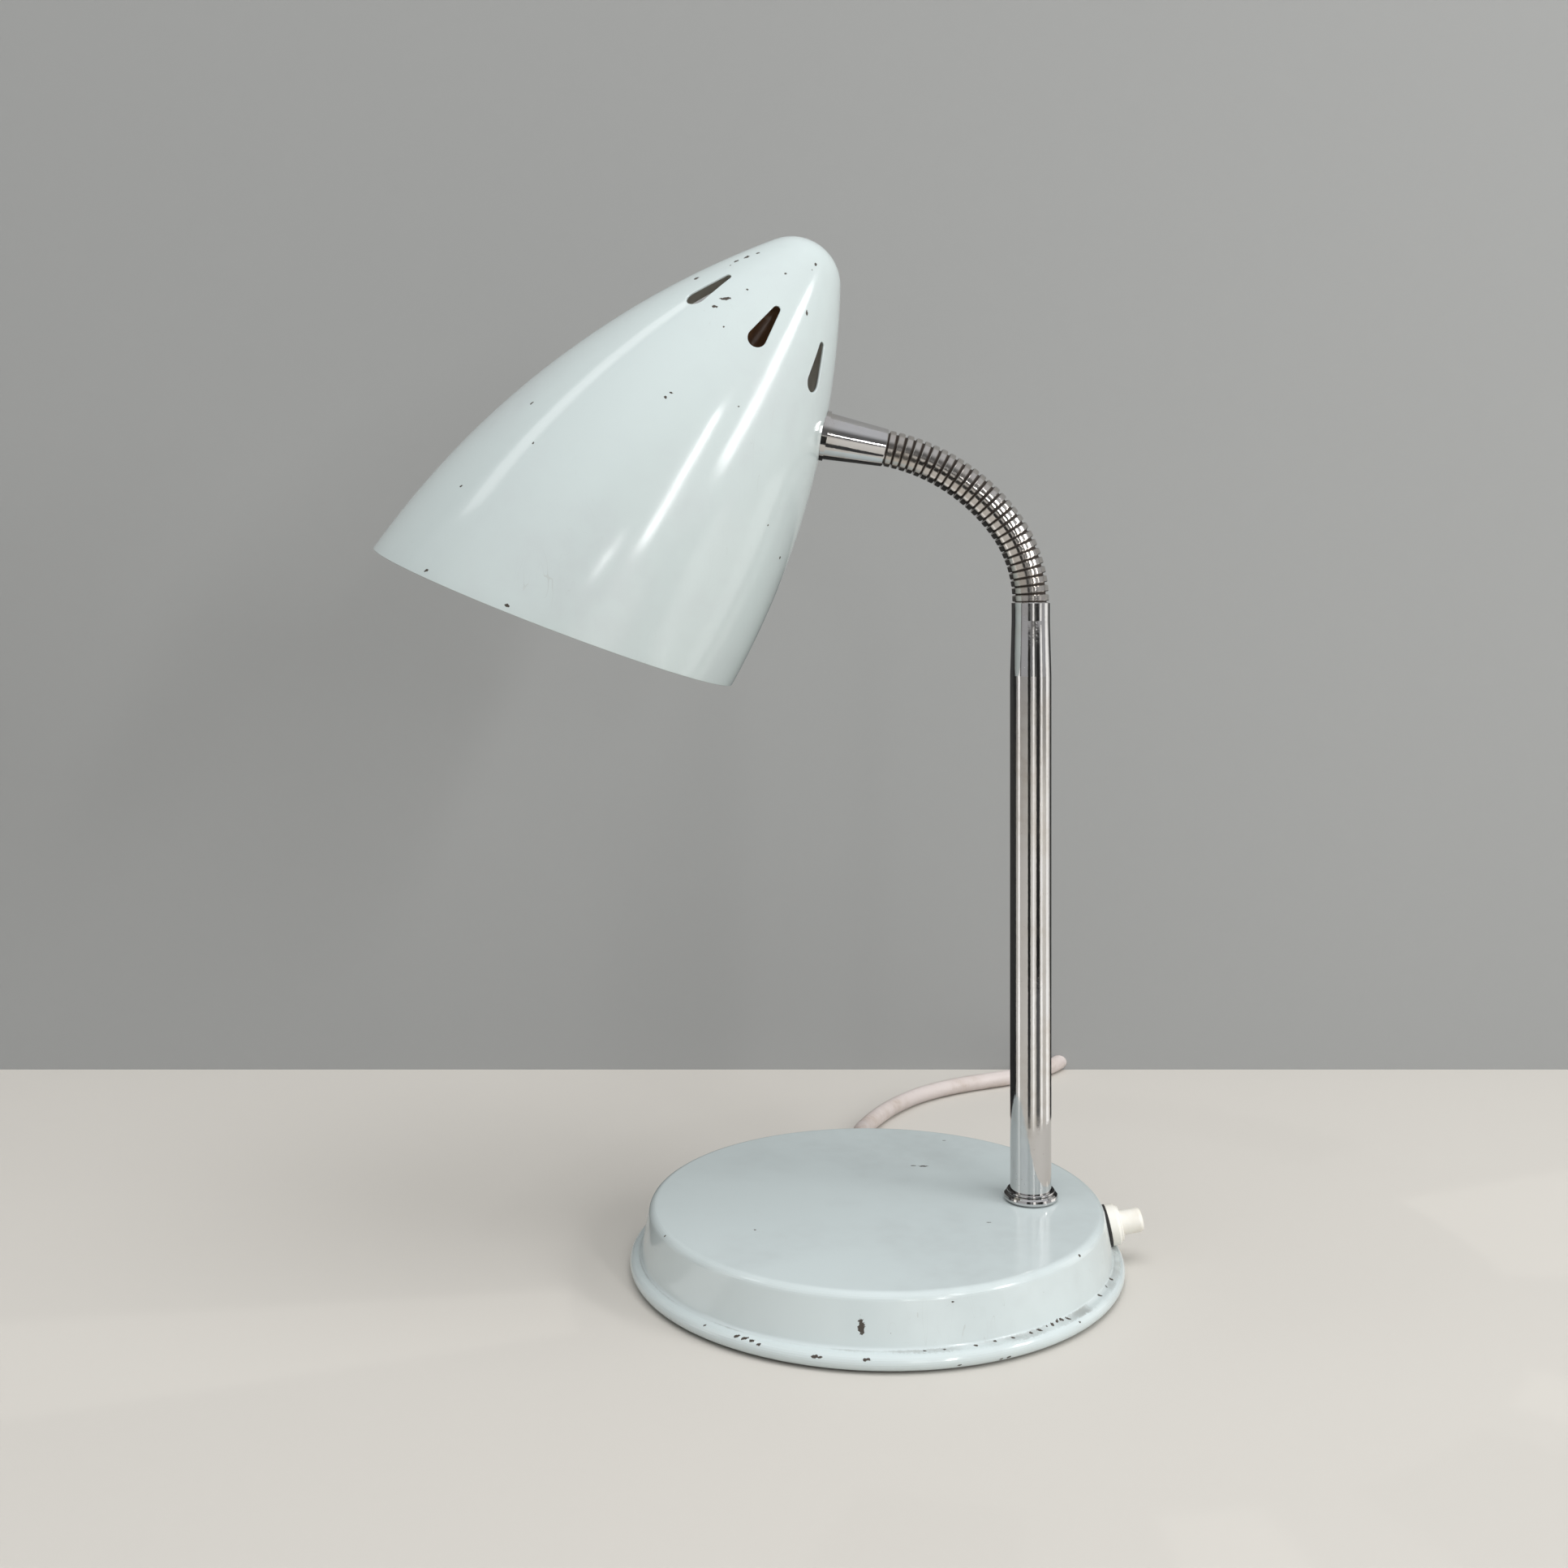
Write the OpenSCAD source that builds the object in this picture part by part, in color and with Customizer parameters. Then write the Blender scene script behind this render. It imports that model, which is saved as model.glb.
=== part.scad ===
// Gooseneck desk lamp with a bullet-shaped enamelled shade and a round weighted base.
// Frame: +Z up, origin at the centre of the base's underside, +X towards the switch,
// the shade hangs towards -X. All sizes are in millimetres, all angles in degrees.

/* [Base] */
// Diameter over the rounded flange of the base
base_d = 160; // [140:1:190]
// Diameter of the top face, measured over its rounded rim
base_top_d = 148; // [132:1:150]
// Height of the enamelled top face above the surface that the lamp stands on
base_h = 20.5; // [18:0.5:26]
// Sheet thickness of the pressed base
base_wall = 1.2; // [0.8:0.1:1.5]
// Lean of the side wall from the vertical
wall_slope = 11; // [8:1:13]
// Outer radius of the rounded rim round the top face
rim_r = 2.6; // [2:0.1:4]
// Outer radius of the bead along the flange
bead_r = 2.4; // [2:0.1:2.8]
// Outer radius of the hollow between side wall and bead
hollow_r = 1.5; // [1:0.1:2.5]
// Gap between the flange and the surface that the lamp stands on
flange_lift = 0.6; // [0.3:0.1:1]
// Thickness of the felt pad
pad_t = 1.2; // [1:0.1:2]
// Thickness of the bottom plate
plate_t = 1.5; // [1:0.1:2]
// Diameter of the cast weight
weight_d = 136; // [110:1:140]
// Thickness of the cast weight
weight_t = 11.3; // [8:0.1:12]
// Distance of the plate screws from the centre
screw_ring_r = 58; // [50:1:62]

/* [Stem] */
// Distance of the stem from the centre of the base
stem_x = 50.7; // [44:0.1:52]
// Outer diameter of the stem tube
stem_d = 13.4; // [12:0.1:15]
// Wall thickness of the stem tube
stem_wall = 1; // [0.8:0.1:1.3]
// Length of the stem tube above the base
stem_len = 195.3; // [150:0.1:260]
// Outer diameter of the narrowed end of the stem tube
crimp_d = 12.4; // [11.8:0.1:12.6]
// Length of the narrowed end of the stem tube
crimp_len = 6; // [4:0.5:18]
// Outer diameter of the collar at the foot of the stem
collar_d = 17.6; // [17:0.1:22]
// Height of the collar at the foot of the stem
collar_h = 3.6; // [3:0.1:6]
// Diameter of the hollow threaded rods
thread_d = 10; // [9:0.1:10.2]
// Bore of the hollow threaded rods
thread_bore = 7; // [5:0.1:7.4]
// Width of the lock nuts across their flats
nut_af = 14; // [13:0.5:15]
// Thickness of the lock nuts
nut_t = 3; // [2:0.5:3.5]
// Thickness of the washer under the base
washer_t = 1.2; // [0.8:0.1:1.6]

/* [Neck] */
// Outer diameter of the flexible neck
neck_d = 11.94; // [11.6:0.02:12.4]
// Bend radius of the lower stretch of the neck, as it stands
low_r = 43.25; // [40:0.25:60]
// Turn of the lower stretch of the neck, as it stands
low_bend = 37; // [30:1:45]
// Bend radius of the upper stretch of the neck, as it stands
high_r = 64.4; // [55:0.1:80]
// Turn of the upper stretch of the neck, as it stands
high_bend = 41.6; // [36:0.1:44]
// Gap between neighbouring turns on the neck's centreline
neck_gap = 0.7; // [0.6:0.05:0.8]
// Rounding of the edges of each turn
turn_round = 0.25; // [0.1:0.05:0.35]
// Depth by which the sleeve of a turn reaches into the next turn
nest = 0.8; // [0.7:0.05:0.9]
// Wall thickness of the sleeve inside each turn
sleeve_t = 0.8; // [0.6:0.05:0.9]

/* [Ferrule] */
// Length of the tapered ferrule from the neck to the shade
ferrule_len = 20.7; // [16:0.1:26]
// Diameter of the ferrule at the neck
ferrule_small_d = 12.4; // [12:0.1:13]
// Diameter of the ferrule's taper at the shade
ferrule_large_d = 15.4; // [14.5:0.1:16]
// Diameter of the thin rim of the ferrule
ferrule_rim_d = 16.6; // [16.2:0.1:18]
// Thickness of the thin rim of the ferrule
ferrule_rim_t = 1.1; // [0.8:0.1:1.6]

/* [Shade] */
// Greatest outer diameter of the shade
shade_d = 122; // [114:1:132]
// Length of the shade on its axis, from the nose to the middle of the mouth
shade_len = 148.7; // [144:0.1:170]
// Radius of the long curve along the shade's side
side_r = 282.7; // [260:1:320]
// Radius of the rounded nose
nose_r = 16; // [13:0.5:18]
// Sheet thickness of the shade
shade_wall = 0.8; // [0.6:0.1:1.2]
// Slant of the mouth against a square cut
mouth_slant = 13.9; // [8:0.1:18]
// Distance of the ferrule's seat from the nose, along the axis
seat_s = 49.9; // [46:0.1:54]

/* [Vents] */
// Number of vents round the nose
vent_count = 8; // [4:1:10]
// Distance of the vents from the nose, along the axis
vent_start = 27.3; // [20:0.1:28]
// Length of each vent
vent_len = 15.5; // [12:0.1:18]
// Radius of the wide end of each vent
vent_r = 3; // [2:0.1:3.6]
// Radius of the narrow end of each vent
vent_tip_r = 1.2; // [0.8:0.1:1.4]
// Turn of the ring of vents round the shade, from the neck away from the viewer
vent_turn = 6.5; // [0:0.5:22.5]

/* [Lampholder and bulb] */
// Distance of the bracket's flange from the nose
flange_s = 24; // [23:0.5:26]
// Sheet thickness of the bracket
bracket_t = 1.2; // [1:0.1:1.5]
// Width of the bracket
bracket_w = 14; // [12:0.5:15]
// Outer diameter of the lampholder
holder_d = 27; // [25:0.5:30]
// Length of the lampholder
holder_len = 41; // [38:0.5:46]
// Wall thickness of the lampholder's sleeve
holder_wall = 1.5; // [1:0.1:2]
// Diameter of the bulb's screw cap
cap_d = 13.8; // [13:0.1:14]
// Diameter of the bulb's globe
globe_d = 45; // [40:1:50]
// Length of the bulb's glass
glass_len = 55; // [52:1:60]
// Wall thickness of the bulb's glass
glass_t = 0.8; // [0.5:0.1:1.2]

/* [Switch] */
// Height of the switch's centre above the surface that the lamp stands on
switch_z = 11.8; // [11:0.1:12.5]
// Diameter of the switch's threaded neck
bush_d = 10; // [9:0.1:10.4]
// Outer diameter of the switch's collar nut
ring_nut_d = 12.8; // [12:0.1:14]
// Length of the switch's collar nut
ring_nut_len = 4; // [4:0.1:6]
// Thickness of the gasket under the collar nut
gasket_t = 0.8; // [0.5:0.1:1]
// Diameter of the push button
button_d = 7.6; // [6:0.1:7.8]
// Length by which the push button stands out of its collar nut
button_out = 7.2; // [5:0.1:8]
// Travel of the push button
button_travel = 2; // [1.5:0.1:2.5]
// Depth of the switch's housing
switch_depth = 10; // [9:0.1:10.5]

/* [Cord] */
// Diameter of the mains cord
cord_d = 6.5; // [6:0.1:6.5]
// Length of the tapered strain relief outside the wall
boot_len = 24; // [20:1:24]
// Diameter of the strain relief at the wall
boot_d = 9.2; // [8.6:0.1:9.6]
// Least radius of the put-away coil, on the cord's centreline
coil_in_r = 27.8; // [27:0.1:30]
// Distance between neighbouring loops of the coil
coil_pitch = 6.95; // [6.95:0.01:7]
// Thickness of the strap that ties the coil
tie_t = 0.8; // [0.6:0.1:0.8]
// Width of the strap that ties the coil
tie_w = 10; // [8:1:14]
// Width of the plug across its pins
plug_w = 35; // [33:0.5:37]
// Thickness of the plug
plug_t = 13.7; // [13:0.1:13.8]
// Length of the plug's body
plug_len = 34; // [30:1:40]
// Diameter of each plug pin
pin_d = 4; // [3.8:0.1:4.2]
// Length of each plug pin
pin_len = 19; // [17:0.5:20]
// Distance between the plug pins
pin_spacing = 19; // [18:0.1:19.2]

/* [Hidden] */
// Every round surface is a true circle in this model, drawn with this many sides
$fn = 96;
// Gap between pieces that are pushed or screwed together
fit = 0.05;
// Gap between pieces that lie next to each other without a fit
loose = 0.1;
// Gap beside a sliding piece
slide_gap = 0.2;
// Extra length of a cutter beyond what it cuts
over = 1;
// Steps in which an outline follows a small arc and the shade's long curve
arc_steps = 6;
side_steps = 40;

// Base outline: centres of its three arcs, worked out from the sizes above. Where the flange
// reaches far past the wall, a flat brim lies between the hollow and the bead.
rim_c = [base_top_d / 2 - rim_r, base_h - rim_r];
bead_c = [base_d / 2 - bead_r, flange_lift + bead_r];
wall_n = [cos(wall_slope), sin(wall_slope)];
wall_dir = [sin(wall_slope), -cos(wall_slope)];
wall_top = rim_c + rim_r * wall_n;
hollow_line = wall_top + hollow_r * wall_n;
brim_c = hollow_line + (hollow_line[1] - bead_c[1] - bead_r - hollow_r) / cos(wall_slope) * wall_dir;
has_brim = brim_c[0] < bead_c[0];
hollow_from = hollow_line - bead_c;
hollow_along = hollow_from * wall_dir;
hollow_reach = bead_r + hollow_r;
hollow_root = hollow_along * hollow_along - hollow_from * hollow_from + hollow_reach * hollow_reach;
hollow_c = has_brim
  ? brim_c
  : bead_c + hollow_from + (-hollow_along - sqrt(hollow_root)) * wall_dir;
bead_turn = has_brim ? 90 : atan2(hollow_c[1] - bead_c[1], hollow_c[0] - bead_c[0]);
function wall_at(z) = wall_top[0] + (wall_top[1] - z) * tan(wall_slope);

// Inside of the base, from the bottom up
plate_top = pad_t + plate_t;
weight_top = plate_top + weight_t;
shell_under = base_h - base_wall;
plate_r = bead_c[0] - 3 * loose;
pad_r = plate_r - 3;
wire_room = 3.3;
nut_z = plate_top + wire_room;
washer_z = nut_z + nut_t;
boss_under = washer_z + washer_t;
washer_r = 8;
boss_r = 8.6;
post_r = 5;
post_ring_r = 50;
screw_d = 3;
screw_head_d = 5.8;
screw_len = 9;
screw_turns = [60, 180, 300];

// Wiring pocket of the weight: terminal block, slot to the switch, switch bay
block_inset = 23;
block_y = weight_d / 2 - block_inset;
block_w = 20;
block_l = 12;
block_h = 9;
pocket_w = 28;
pocket_from = block_y - block_l / 2 - 3;
slot_w = 9;
slot_from = [10, block_y + 1];
slot_to = [stem_x + 15.3, 6];
slot_run = slot_to - slot_from;
bay_x = stem_x + washer_r + 1.6;
bay_w = 24;
groove_w = 5;
groove_l = 18;

// Stem
stem_top = base_h + stem_len;
stem_bore = stem_d - 2 * stem_wall;
crimp_bore = crimp_d - 2 * stem_wall;
crimp_taper = 18;
stem_edge = 0.3;
collar_bead_h = 0.8;
collar_ring_h = collar_h - collar_bead_h;
collar_bead_d = (collar_d + stem_d) / 2;
rod_low = nut_z - 0.2;
rod_plug_len = 22;
spigot_len = 15;
spigot_d = crimp_bore - 2 * fit;
spigot_bore = spigot_d - 2.6;

// Neck: turns, and the sleeve and pocket with which they nest
neck_turns = 27;
low_len = low_r * low_bend * PI / 180;
high_len = high_r * high_bend * PI / 180;
neck_len = low_len + high_len;
turn_pitch = neck_len / neck_turns;
turn_w = turn_pitch - neck_gap;
pocket_r = neck_d / 2 - 0.77;
sleeve_r = pocket_r - 0.3;
sleeve_bore = sleeve_r - sleeve_t;
pocket_depth = nest + neck_gap - loose;
web = turn_w - pocket_depth;

// Shade: centre of the long curve, seat of the ferrule
side_c = [shade_d / 2 - side_r, nose_r + sqrt(pow(side_r - nose_r, 2) - pow(side_r - shade_d / 2, 2))];
nose_turn = atan2(side_c[1] - nose_r, -side_c[0]);
seat_slope = asin((side_c[1] - seat_s) / side_r);
seat_r = side_c[0] + side_r * cos(seat_slope);
mouth_reach = shade_len + tan(mouth_slant) * shade_d / 2;
mouth_turn = asin((mouth_reach + 3 - side_c[1]) / side_r);

// Lampholder bracket, counted inwards from the seat
nut_r = nut_af / 2 / cos(30);
nut_sag = sag(seat_r - shade_wall, nut_r) + loose;
bracket_depth = shade_wall + nut_sag + nut_t;
rod_end = ferrule_len + bracket_depth + bracket_t + nut_t + 1;
tab_below = 9;
flange_beyond = 9;
holder_s = flange_s + bracket_t;
holder_lip = 1.5;
core_len = 10.4;
screw_shell_t = 0.4;
screw_shell_len = 18;
screw_shell_r = cap_d / 2 + slide_gap;
core_end = holder_s + holder_lip + loose + core_len;
contact_len = 2.8;
cap_len = 19;
skirt_len = 3;
skirt_r = cap_d / 2 + 1.1;
cap_from = core_end + loose + contact_len;
glass_from = cap_from + cap_len;
throat_r = cap_d / 2 + 1.1;
throat_fillet = 14;
globe_s = glass_from + glass_len - globe_d / 2;
throat_s = globe_s - sqrt(pow(globe_d / 2 + throat_fillet, 2) - pow(throat_r + throat_fillet, 2));
throat_turn = atan2(globe_s - throat_s, -(throat_r + throat_fillet));

// Switch, counted outwards from the outside of the wall
switch_r = wall_at(switch_z);
housing_w = 16;
housing_h = 11;
housing_face = base_wall + sag(switch_r - base_wall, housing_w / 2) + loose;
nut_lip = 1.5;
bush_out = gasket_t + ring_nut_len - nut_lip - 0.3;
button_flange_r = button_d / 2 + 0.8;
chamber_r = button_flange_r + 0.3;
chamber_face = housing_face + 1.5;
chamber_end = housing_face + switch_depth - 1.2;
gasket_edge = 0.4;
button_flange_t = 1.2;
button_tip = fit + gasket_t + ring_nut_len + button_out;
spring_wire = 0.5;
spring_r = 2.6;
spring_turns = 5;
spring_from = -(chamber_end - loose);
spring_to = -(chamber_face + button_flange_t + 2 * loose);

// Cord: where it leaves the base, and its strain relief
boot_z = plate_top + loose + boot_d / 2;
boot_inset = 5.5;
boot_from = wall_at(boot_z) - boot_inset;
boot_end_y = 100;
boot_end_d = cord_d + 1.2;
boot_flange_t = 2;
boot_flange_w = 14;
boot_flange_h = 10;
sheath_d = cord_d - 2 * fit;

// Route of the cord from the strain relief to the coil, chosen by hand
cord_route = [
  [0, boot_end_y, boot_z], [0, 106, 7.3], [0.5, 113, 6.2], [1.5, 120, 4.6], [3.5, 128, 3.6],
  [7, 137, 3.3], [12, 147, 3.3], [19, 158, 3.3], [27.5, 168.5, 3.3], [38, 177.5, 3.3],
  [49, 184.5, 3.3], [60, 190, 3.3], [71, 195.5, 3.3], [82, 203, 3.3], [91.5, 213, 3.3],
  [99, 225, 3.3], [104.5, 238, 3.4], [108, 251, 3.7], [109.3, 265, 4.05], [109.5, 278.5, 4.15]
];
// Coil: it lies behind the lamp, flat on the same surface
coil_loops = 6.25;
coil_rings = 24;
coil_sides = 6;
layer_loops = 3;
coil_out_r = coil_in_r + coil_pitch * coil_loops / 2;
coil_c = [109.5 - 49.51875, 285];
coil_low = 4.15;
coil_high = coil_low + coil_pitch;
coil_turn = 360 * coil_loops;
tail_from = [coil_c[0] - cord_d, coil_c[1] + coil_out_r, coil_high];
// Route of the cord from the coil to the plug, chosen by hand
tail_route = [
  tail_from, [46, 334.5, 11], [36.5, 334.5, 10.2], [27, 334.5, 8.6], [18.5, 334.5, 7.3],
  [12, 334.5, 6.95], [6, 334.5, 6.9]
];
tail_end = tail_route[len(tail_route) - 1];
plug_sleeve_len = 16;
plug_edge = 2;
pin_root_d = pin_d - 0.8;
pin_root_len = 8;
tie_turn = coil_turn / 2 + 180;
coil_bore_r = coil_in_r + coil_pitch / 2 - cord_d / 2;
tie_in = coil_bore_r - sag(coil_bore_r, tie_w / 2) - 2 * loose;
tie_out = coil_in_r + coil_pitch * (layer_loops - 0.5) + cord_d / 2 + 2 * loose;
tie_top = coil_high + cord_d / 2 + loose;
lead_d = 2.2;

// Helpers

// Height of a circle's crown over a chord of the given half width
function sag(r, half) = r - sqrt(r * r - half * half);

// Points along an arc in the drawing plane
function arc(c, r, from, to, steps = arc_steps) =
  [for (i = [0:steps]) c + r * [cos(from + (to - from) * i / steps), sin(from + (to - from) * i / steps)]];

function turn_name(i) = str("neck_turn_", i < 10 ? "0" : "", i);

// Lean and place of the neck's centreline at a distance along it
function neck_lean(s) = s < low_len ? s / low_r * 180 / PI : low_bend + (s - low_len) / high_r * 180 / PI;
function neck_drift(a) = a < low_bend
  ? low_r * (1 - cos(a))
  : low_r * (1 - cos(low_bend)) + high_r * (cos(low_bend) - cos(a));
function neck_rise(a) = a < low_bend
  ? low_r * sin(a)
  : low_r * sin(low_bend) + high_r * (sin(a) - sin(low_bend));

module on_neck(s) {
  a = neck_lean(s);
  translate([stem_x - neck_drift(a), 0, stem_top + neck_rise(a)])
    rotate([0, -a, 0])
      children();
}

// The ferrule's frame has +Z towards the shade, the shade's frame +Z from nose to mouth
module at_ferrule() {
  on_neck(neck_len) children();
}

module at_shade() {
  at_ferrule()
    translate([0, 0, ferrule_len])
      rotate([0, 90 - seat_slope, 180])
        translate([-seat_r, 0, -seat_s])
          children();
}

module at_switch() {
  translate([switch_r, 0, switch_z])
    rotate([0, 90 - wall_slope, 0])
      children();
}

module spin(points) {
  rotate_extrude() polygon(points);
}

// Upright tube between two heights
module tube(d, bore, z0, z1) {
  translate([0, 0, z0])
    difference() {
      cylinder(d = d, h = z1 - z0);
      translate([0, 0, -over]) cylinder(d = bore, h = z1 - z0 + 2 * over);
    }
}

module hex_nut(z) {
  translate([0, 0, z])
    difference() {
      cylinder(r = nut_r, h = nut_t, $fn = 6);
      translate([0, 0, -over]) cylinder(d = thread_d + 2 * fit, h = nut_t + 2 * over);
    }
}

// Sweep of a regular outline along points, as one closed mesh
function unit(v) = v / norm(v);
function heading(p, i) = unit(p[min(i + 1, len(p) - 1)] - p[max(i - 1, 0)]);
function square_to(v, t) = unit(v - (v * t) * t);

// Direction of a corner of the outline at each point, carried along without twist
function corners(p) = [for (
  i = 0, v = square_to([0, 0, 1], heading(p, 0));
  i < len(p);
  i = i + 1, v = square_to(v, heading(p, min(i, len(p) - 1)))
) v];

function ring(c, t, v, r, sides) =
  let (u = cross(t, v))
    [for (k = [0:sides - 1]) c + r * (cos(90 + 360 * k / sides) * u + sin(90 + 360 * k / sides) * v)];

module sweep(p, r, sides) {
  n = len(p);
  v = corners(p);
  points = [for (i = [0:n - 1]) each ring(p[i], heading(p, i), v[i], r, sides)];
  walls = [for (i = [0:n - 2]) for (k = [0:sides - 1])
    let (a = i * sides + k, b = i * sides + (k + 1) % sides)
      each [[a, b, b + sides], [a, b + sides, a + sides]]];
  first = [for (k = [1:sides - 2]) [0, k + 1, k]];
  last = [for (k = [1:sides - 2]) [0, k, k + 1] + (n - 1) * sides * [1, 1, 1]];
  polyhedron(points, concat(walls, first, last));
}

// Base

// Outline of the pressed base, moved in by a distance
function base_arcs(t) = concat(
  arc(rim_c, rim_r - t, 90, wall_slope),
  arc(hollow_c, hollow_r + t, wall_slope - 180, bead_turn - 180),
  arc(bead_c, bead_r - t, bead_turn, -90, 2 * arc_steps)
);
function reversed(p) = [for (i = [len(p) - 1:-1:0]) p[i]];

// The base as a full body, moved out by a distance
module base_body(d) {
  spin(concat([[0, base_h + d]], base_arcs(-d), [[0, flange_lift - d]]));
}

module base_shell() {
  color([0.76, 0.8, 0.8])
    difference() {
      spin(concat([[0, base_h]], base_arcs(0), reversed(base_arcs(base_wall)), [[0, shell_under]]));
      translate([stem_x, 0, shell_under - over])
        cylinder(d = thread_d + 2 * slide_gap, h = base_wall + 2 * over);
      at_switch()
        translate([0, 0, -base_wall - over])
          cylinder(d = bush_d + 2 * loose, h = base_wall + 2 * over);
      translate([0, boot_from, boot_z])
        rotate([-90, 0, 0])
          cylinder(d = boot_d + 2 * loose, h = base_d / 2 - boot_from + over);
    }
}

module base_pad() {
  color([0.12, 0.12, 0.12]) cylinder(r = pad_r, h = pad_t);
}

module at_screws() {
  for (a = screw_turns)
    rotate([0, 0, a])
      translate([screw_ring_r, 0, pad_t])
        children();
}

module screw_shape(gap) {
  spin([
    [0, 0], [screw_head_d / 2 + gap, 0], [screw_d / 2 + gap, (screw_head_d - screw_d) / 2],
    [screw_d / 2 + gap, screw_len + gap], [0, screw_len + gap]
  ]);
}

module base_plate() {
  color([0.45, 0.46, 0.47])
    difference() {
      translate([0, 0, pad_t]) cylinder(r = plate_r, h = plate_t);
      at_screws() screw_shape(fit);
      at_screws() translate([0, 0, -over]) cylinder(d = screw_head_d + 2 * fit, h = over);
    }
}

module base_screws() {
  color([0.7, 0.7, 0.68]) at_screws() screw_shape(0);
}

// Cutter in the plane of the weight, from one point to another
module slot_cut(from, to, w, z0, z1) {
  run = to - from;
  translate([from[0], from[1], z0])
    rotate([0, 0, atan2(run[1], run[0])])
      translate([0, -w / 2, 0])
        cube([norm(run), w, z1 - z0]);
}

module base_weight() {
  color([0.22, 0.22, 0.23])
    difference() {
      union() {
        translate([0, 0, plate_top]) cylinder(d = weight_d, h = weight_t);
        translate([stem_x, 0, plate_top]) cylinder(r = boss_r, h = shell_under - loose - plate_top);
        for (a = [150, 210])
          rotate([0, 0, a])
            translate([post_ring_r, 0, plate_top])
              cylinder(r = post_r, h = shell_under - loose - plate_top);
      }
      translate([stem_x, 0, plate_top - over])
        cylinder(d = thread_d + 2 * slide_gap, h = base_h);
      translate([stem_x, 0, plate_top - over])
        cylinder(r = nut_r + 0.4, h = boss_under - plate_top + over);
      translate([-pocket_w / 2, pocket_from, plate_top - over])
        cube([pocket_w, weight_d, weight_t + 2 * over]);
      slot_cut(slot_from, slot_to, slot_w, plate_top - over, weight_top + over);
      translate([bay_x, -bay_w / 2, plate_top - over])
        cube([weight_d, bay_w, weight_t + 2 * over]);
      slot_cut([stem_x, 0], [stem_x, 0] + groove_l * unit([-slot_run[1], slot_run[0]]), groove_w,
        plate_top - over, nut_z);
      at_screws() screw_shape(fit);
    }
}

// Stem

module stem_collar() {
  low_r1 = collar_ring_h / 2;
  top_r1 = collar_bead_h / 2;
  bore_r = stem_d / 2 + loose;
  color([0.82, 0.82, 0.84])
    translate([stem_x, 0, base_h])
      spin(concat(
        [[bore_r, 0]],
        arc([collar_d / 2 - low_r1, low_r1], low_r1, -90, 90),
        arc([collar_bead_d / 2 - top_r1, collar_ring_h + top_r1], top_r1, -90, 90),
        [[bore_r, collar_h]]
      ));
}

module stem_tube() {
  color([0.85, 0.85, 0.87])
    translate([stem_x, 0, base_h])
      spin([
        [stem_bore / 2, 0], [stem_d / 2, 0],
        [stem_d / 2, stem_len - crimp_len - crimp_taper], [crimp_d / 2, stem_len - crimp_len],
        [crimp_d / 2, stem_len - stem_edge], [crimp_d / 2 - stem_edge, stem_len],
        [crimp_bore / 2, stem_len],
        [crimp_bore / 2, stem_len - crimp_len], [stem_bore / 2, stem_len - crimp_len - crimp_taper]
      ]);
}

module stem_rod() {
  color([0.72, 0.62, 0.38])
    translate([stem_x, 0, 0])
      difference() {
        union() {
          translate([0, 0, rod_low]) cylinder(d = thread_d, h = base_h - rod_low + over);
          translate([0, 0, base_h + loose]) cylinder(d = stem_bore - 2 * fit, h = rod_plug_len);
        }
        translate([0, 0, rod_low - over]) cylinder(d = thread_bore, h = base_h + 2 * rod_plug_len);
      }
}

module stem_washer() {
  color([0.7, 0.7, 0.7])
    translate([stem_x, 0, 0])
      tube(2 * washer_r, thread_d + 2 * slide_gap, washer_z, boss_under);
}

module stem_nut() {
  color([0.72, 0.62, 0.38]) translate([stem_x, 0, 0]) hex_nut(nut_z);
}

// Neck

// One turn of the neck round its own middle: a band outside, and a sleeve that reaches
// into the next turn. The sleeve of the turn before reaches into its pocket.
module turn_shape(with_pocket, with_sleeve) {
  half = turn_w / 2;
  sleeve_top = with_sleeve ? half + neck_gap + nest : half;
  spin(concat(
    with_pocket
      ? [[sleeve_bore, pocket_depth - half], [pocket_r, pocket_depth - half], [pocket_r, -half]]
      : [[sleeve_bore, -half]],
    [
      [neck_d / 2 - turn_round, -half], [neck_d / 2, turn_round - half],
      [neck_d / 2, half - turn_round], [neck_d / 2 - turn_round, half]
    ],
    with_sleeve
      ? [[sleeve_r, half], [sleeve_r, sleeve_top], [sleeve_bore, sleeve_top]]
      : [[sleeve_bore, half]]
  ));
}

module neck_turn(i) {
  color([0.8, 0.8, 0.82])
    on_neck((i + 0.5) * turn_pitch) turn_shape(true, true);
}

module neck_root() {
  color([0.8, 0.8, 0.82]) {
    on_neck(0.5 * turn_pitch) turn_shape(false, true);
    translate([stem_x, 0, 0])
      tube(spigot_d, spigot_bore, stem_top - spigot_len, stem_top + neck_gap / 2 + turn_w / 2);
  }
}

module neck_end() {
  color([0.8, 0.8, 0.82]) {
    on_neck(neck_len - 0.5 * turn_pitch) turn_shape(true, false);
    at_ferrule() tube(thread_d, thread_bore, -neck_gap / 2 - web / 2, rod_end);
  }
}

// Shade and ferrule

// Outline of the shade from the nose down, moved out by a distance
function shade_outline(d) = concat(
  arc([0, nose_r], nose_r + d, -90, -nose_turn),
  [for (i = [1:side_steps])
    let (a = -nose_turn + (mouth_turn + nose_turn) * i / side_steps)
      side_c + (side_r + d) * [cos(a), sin(a)]]
);

module shade_body(d) {
  line = shade_outline(d);
  spin(concat(line, [[0, line[len(line) - 1][1]]]));
}

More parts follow.
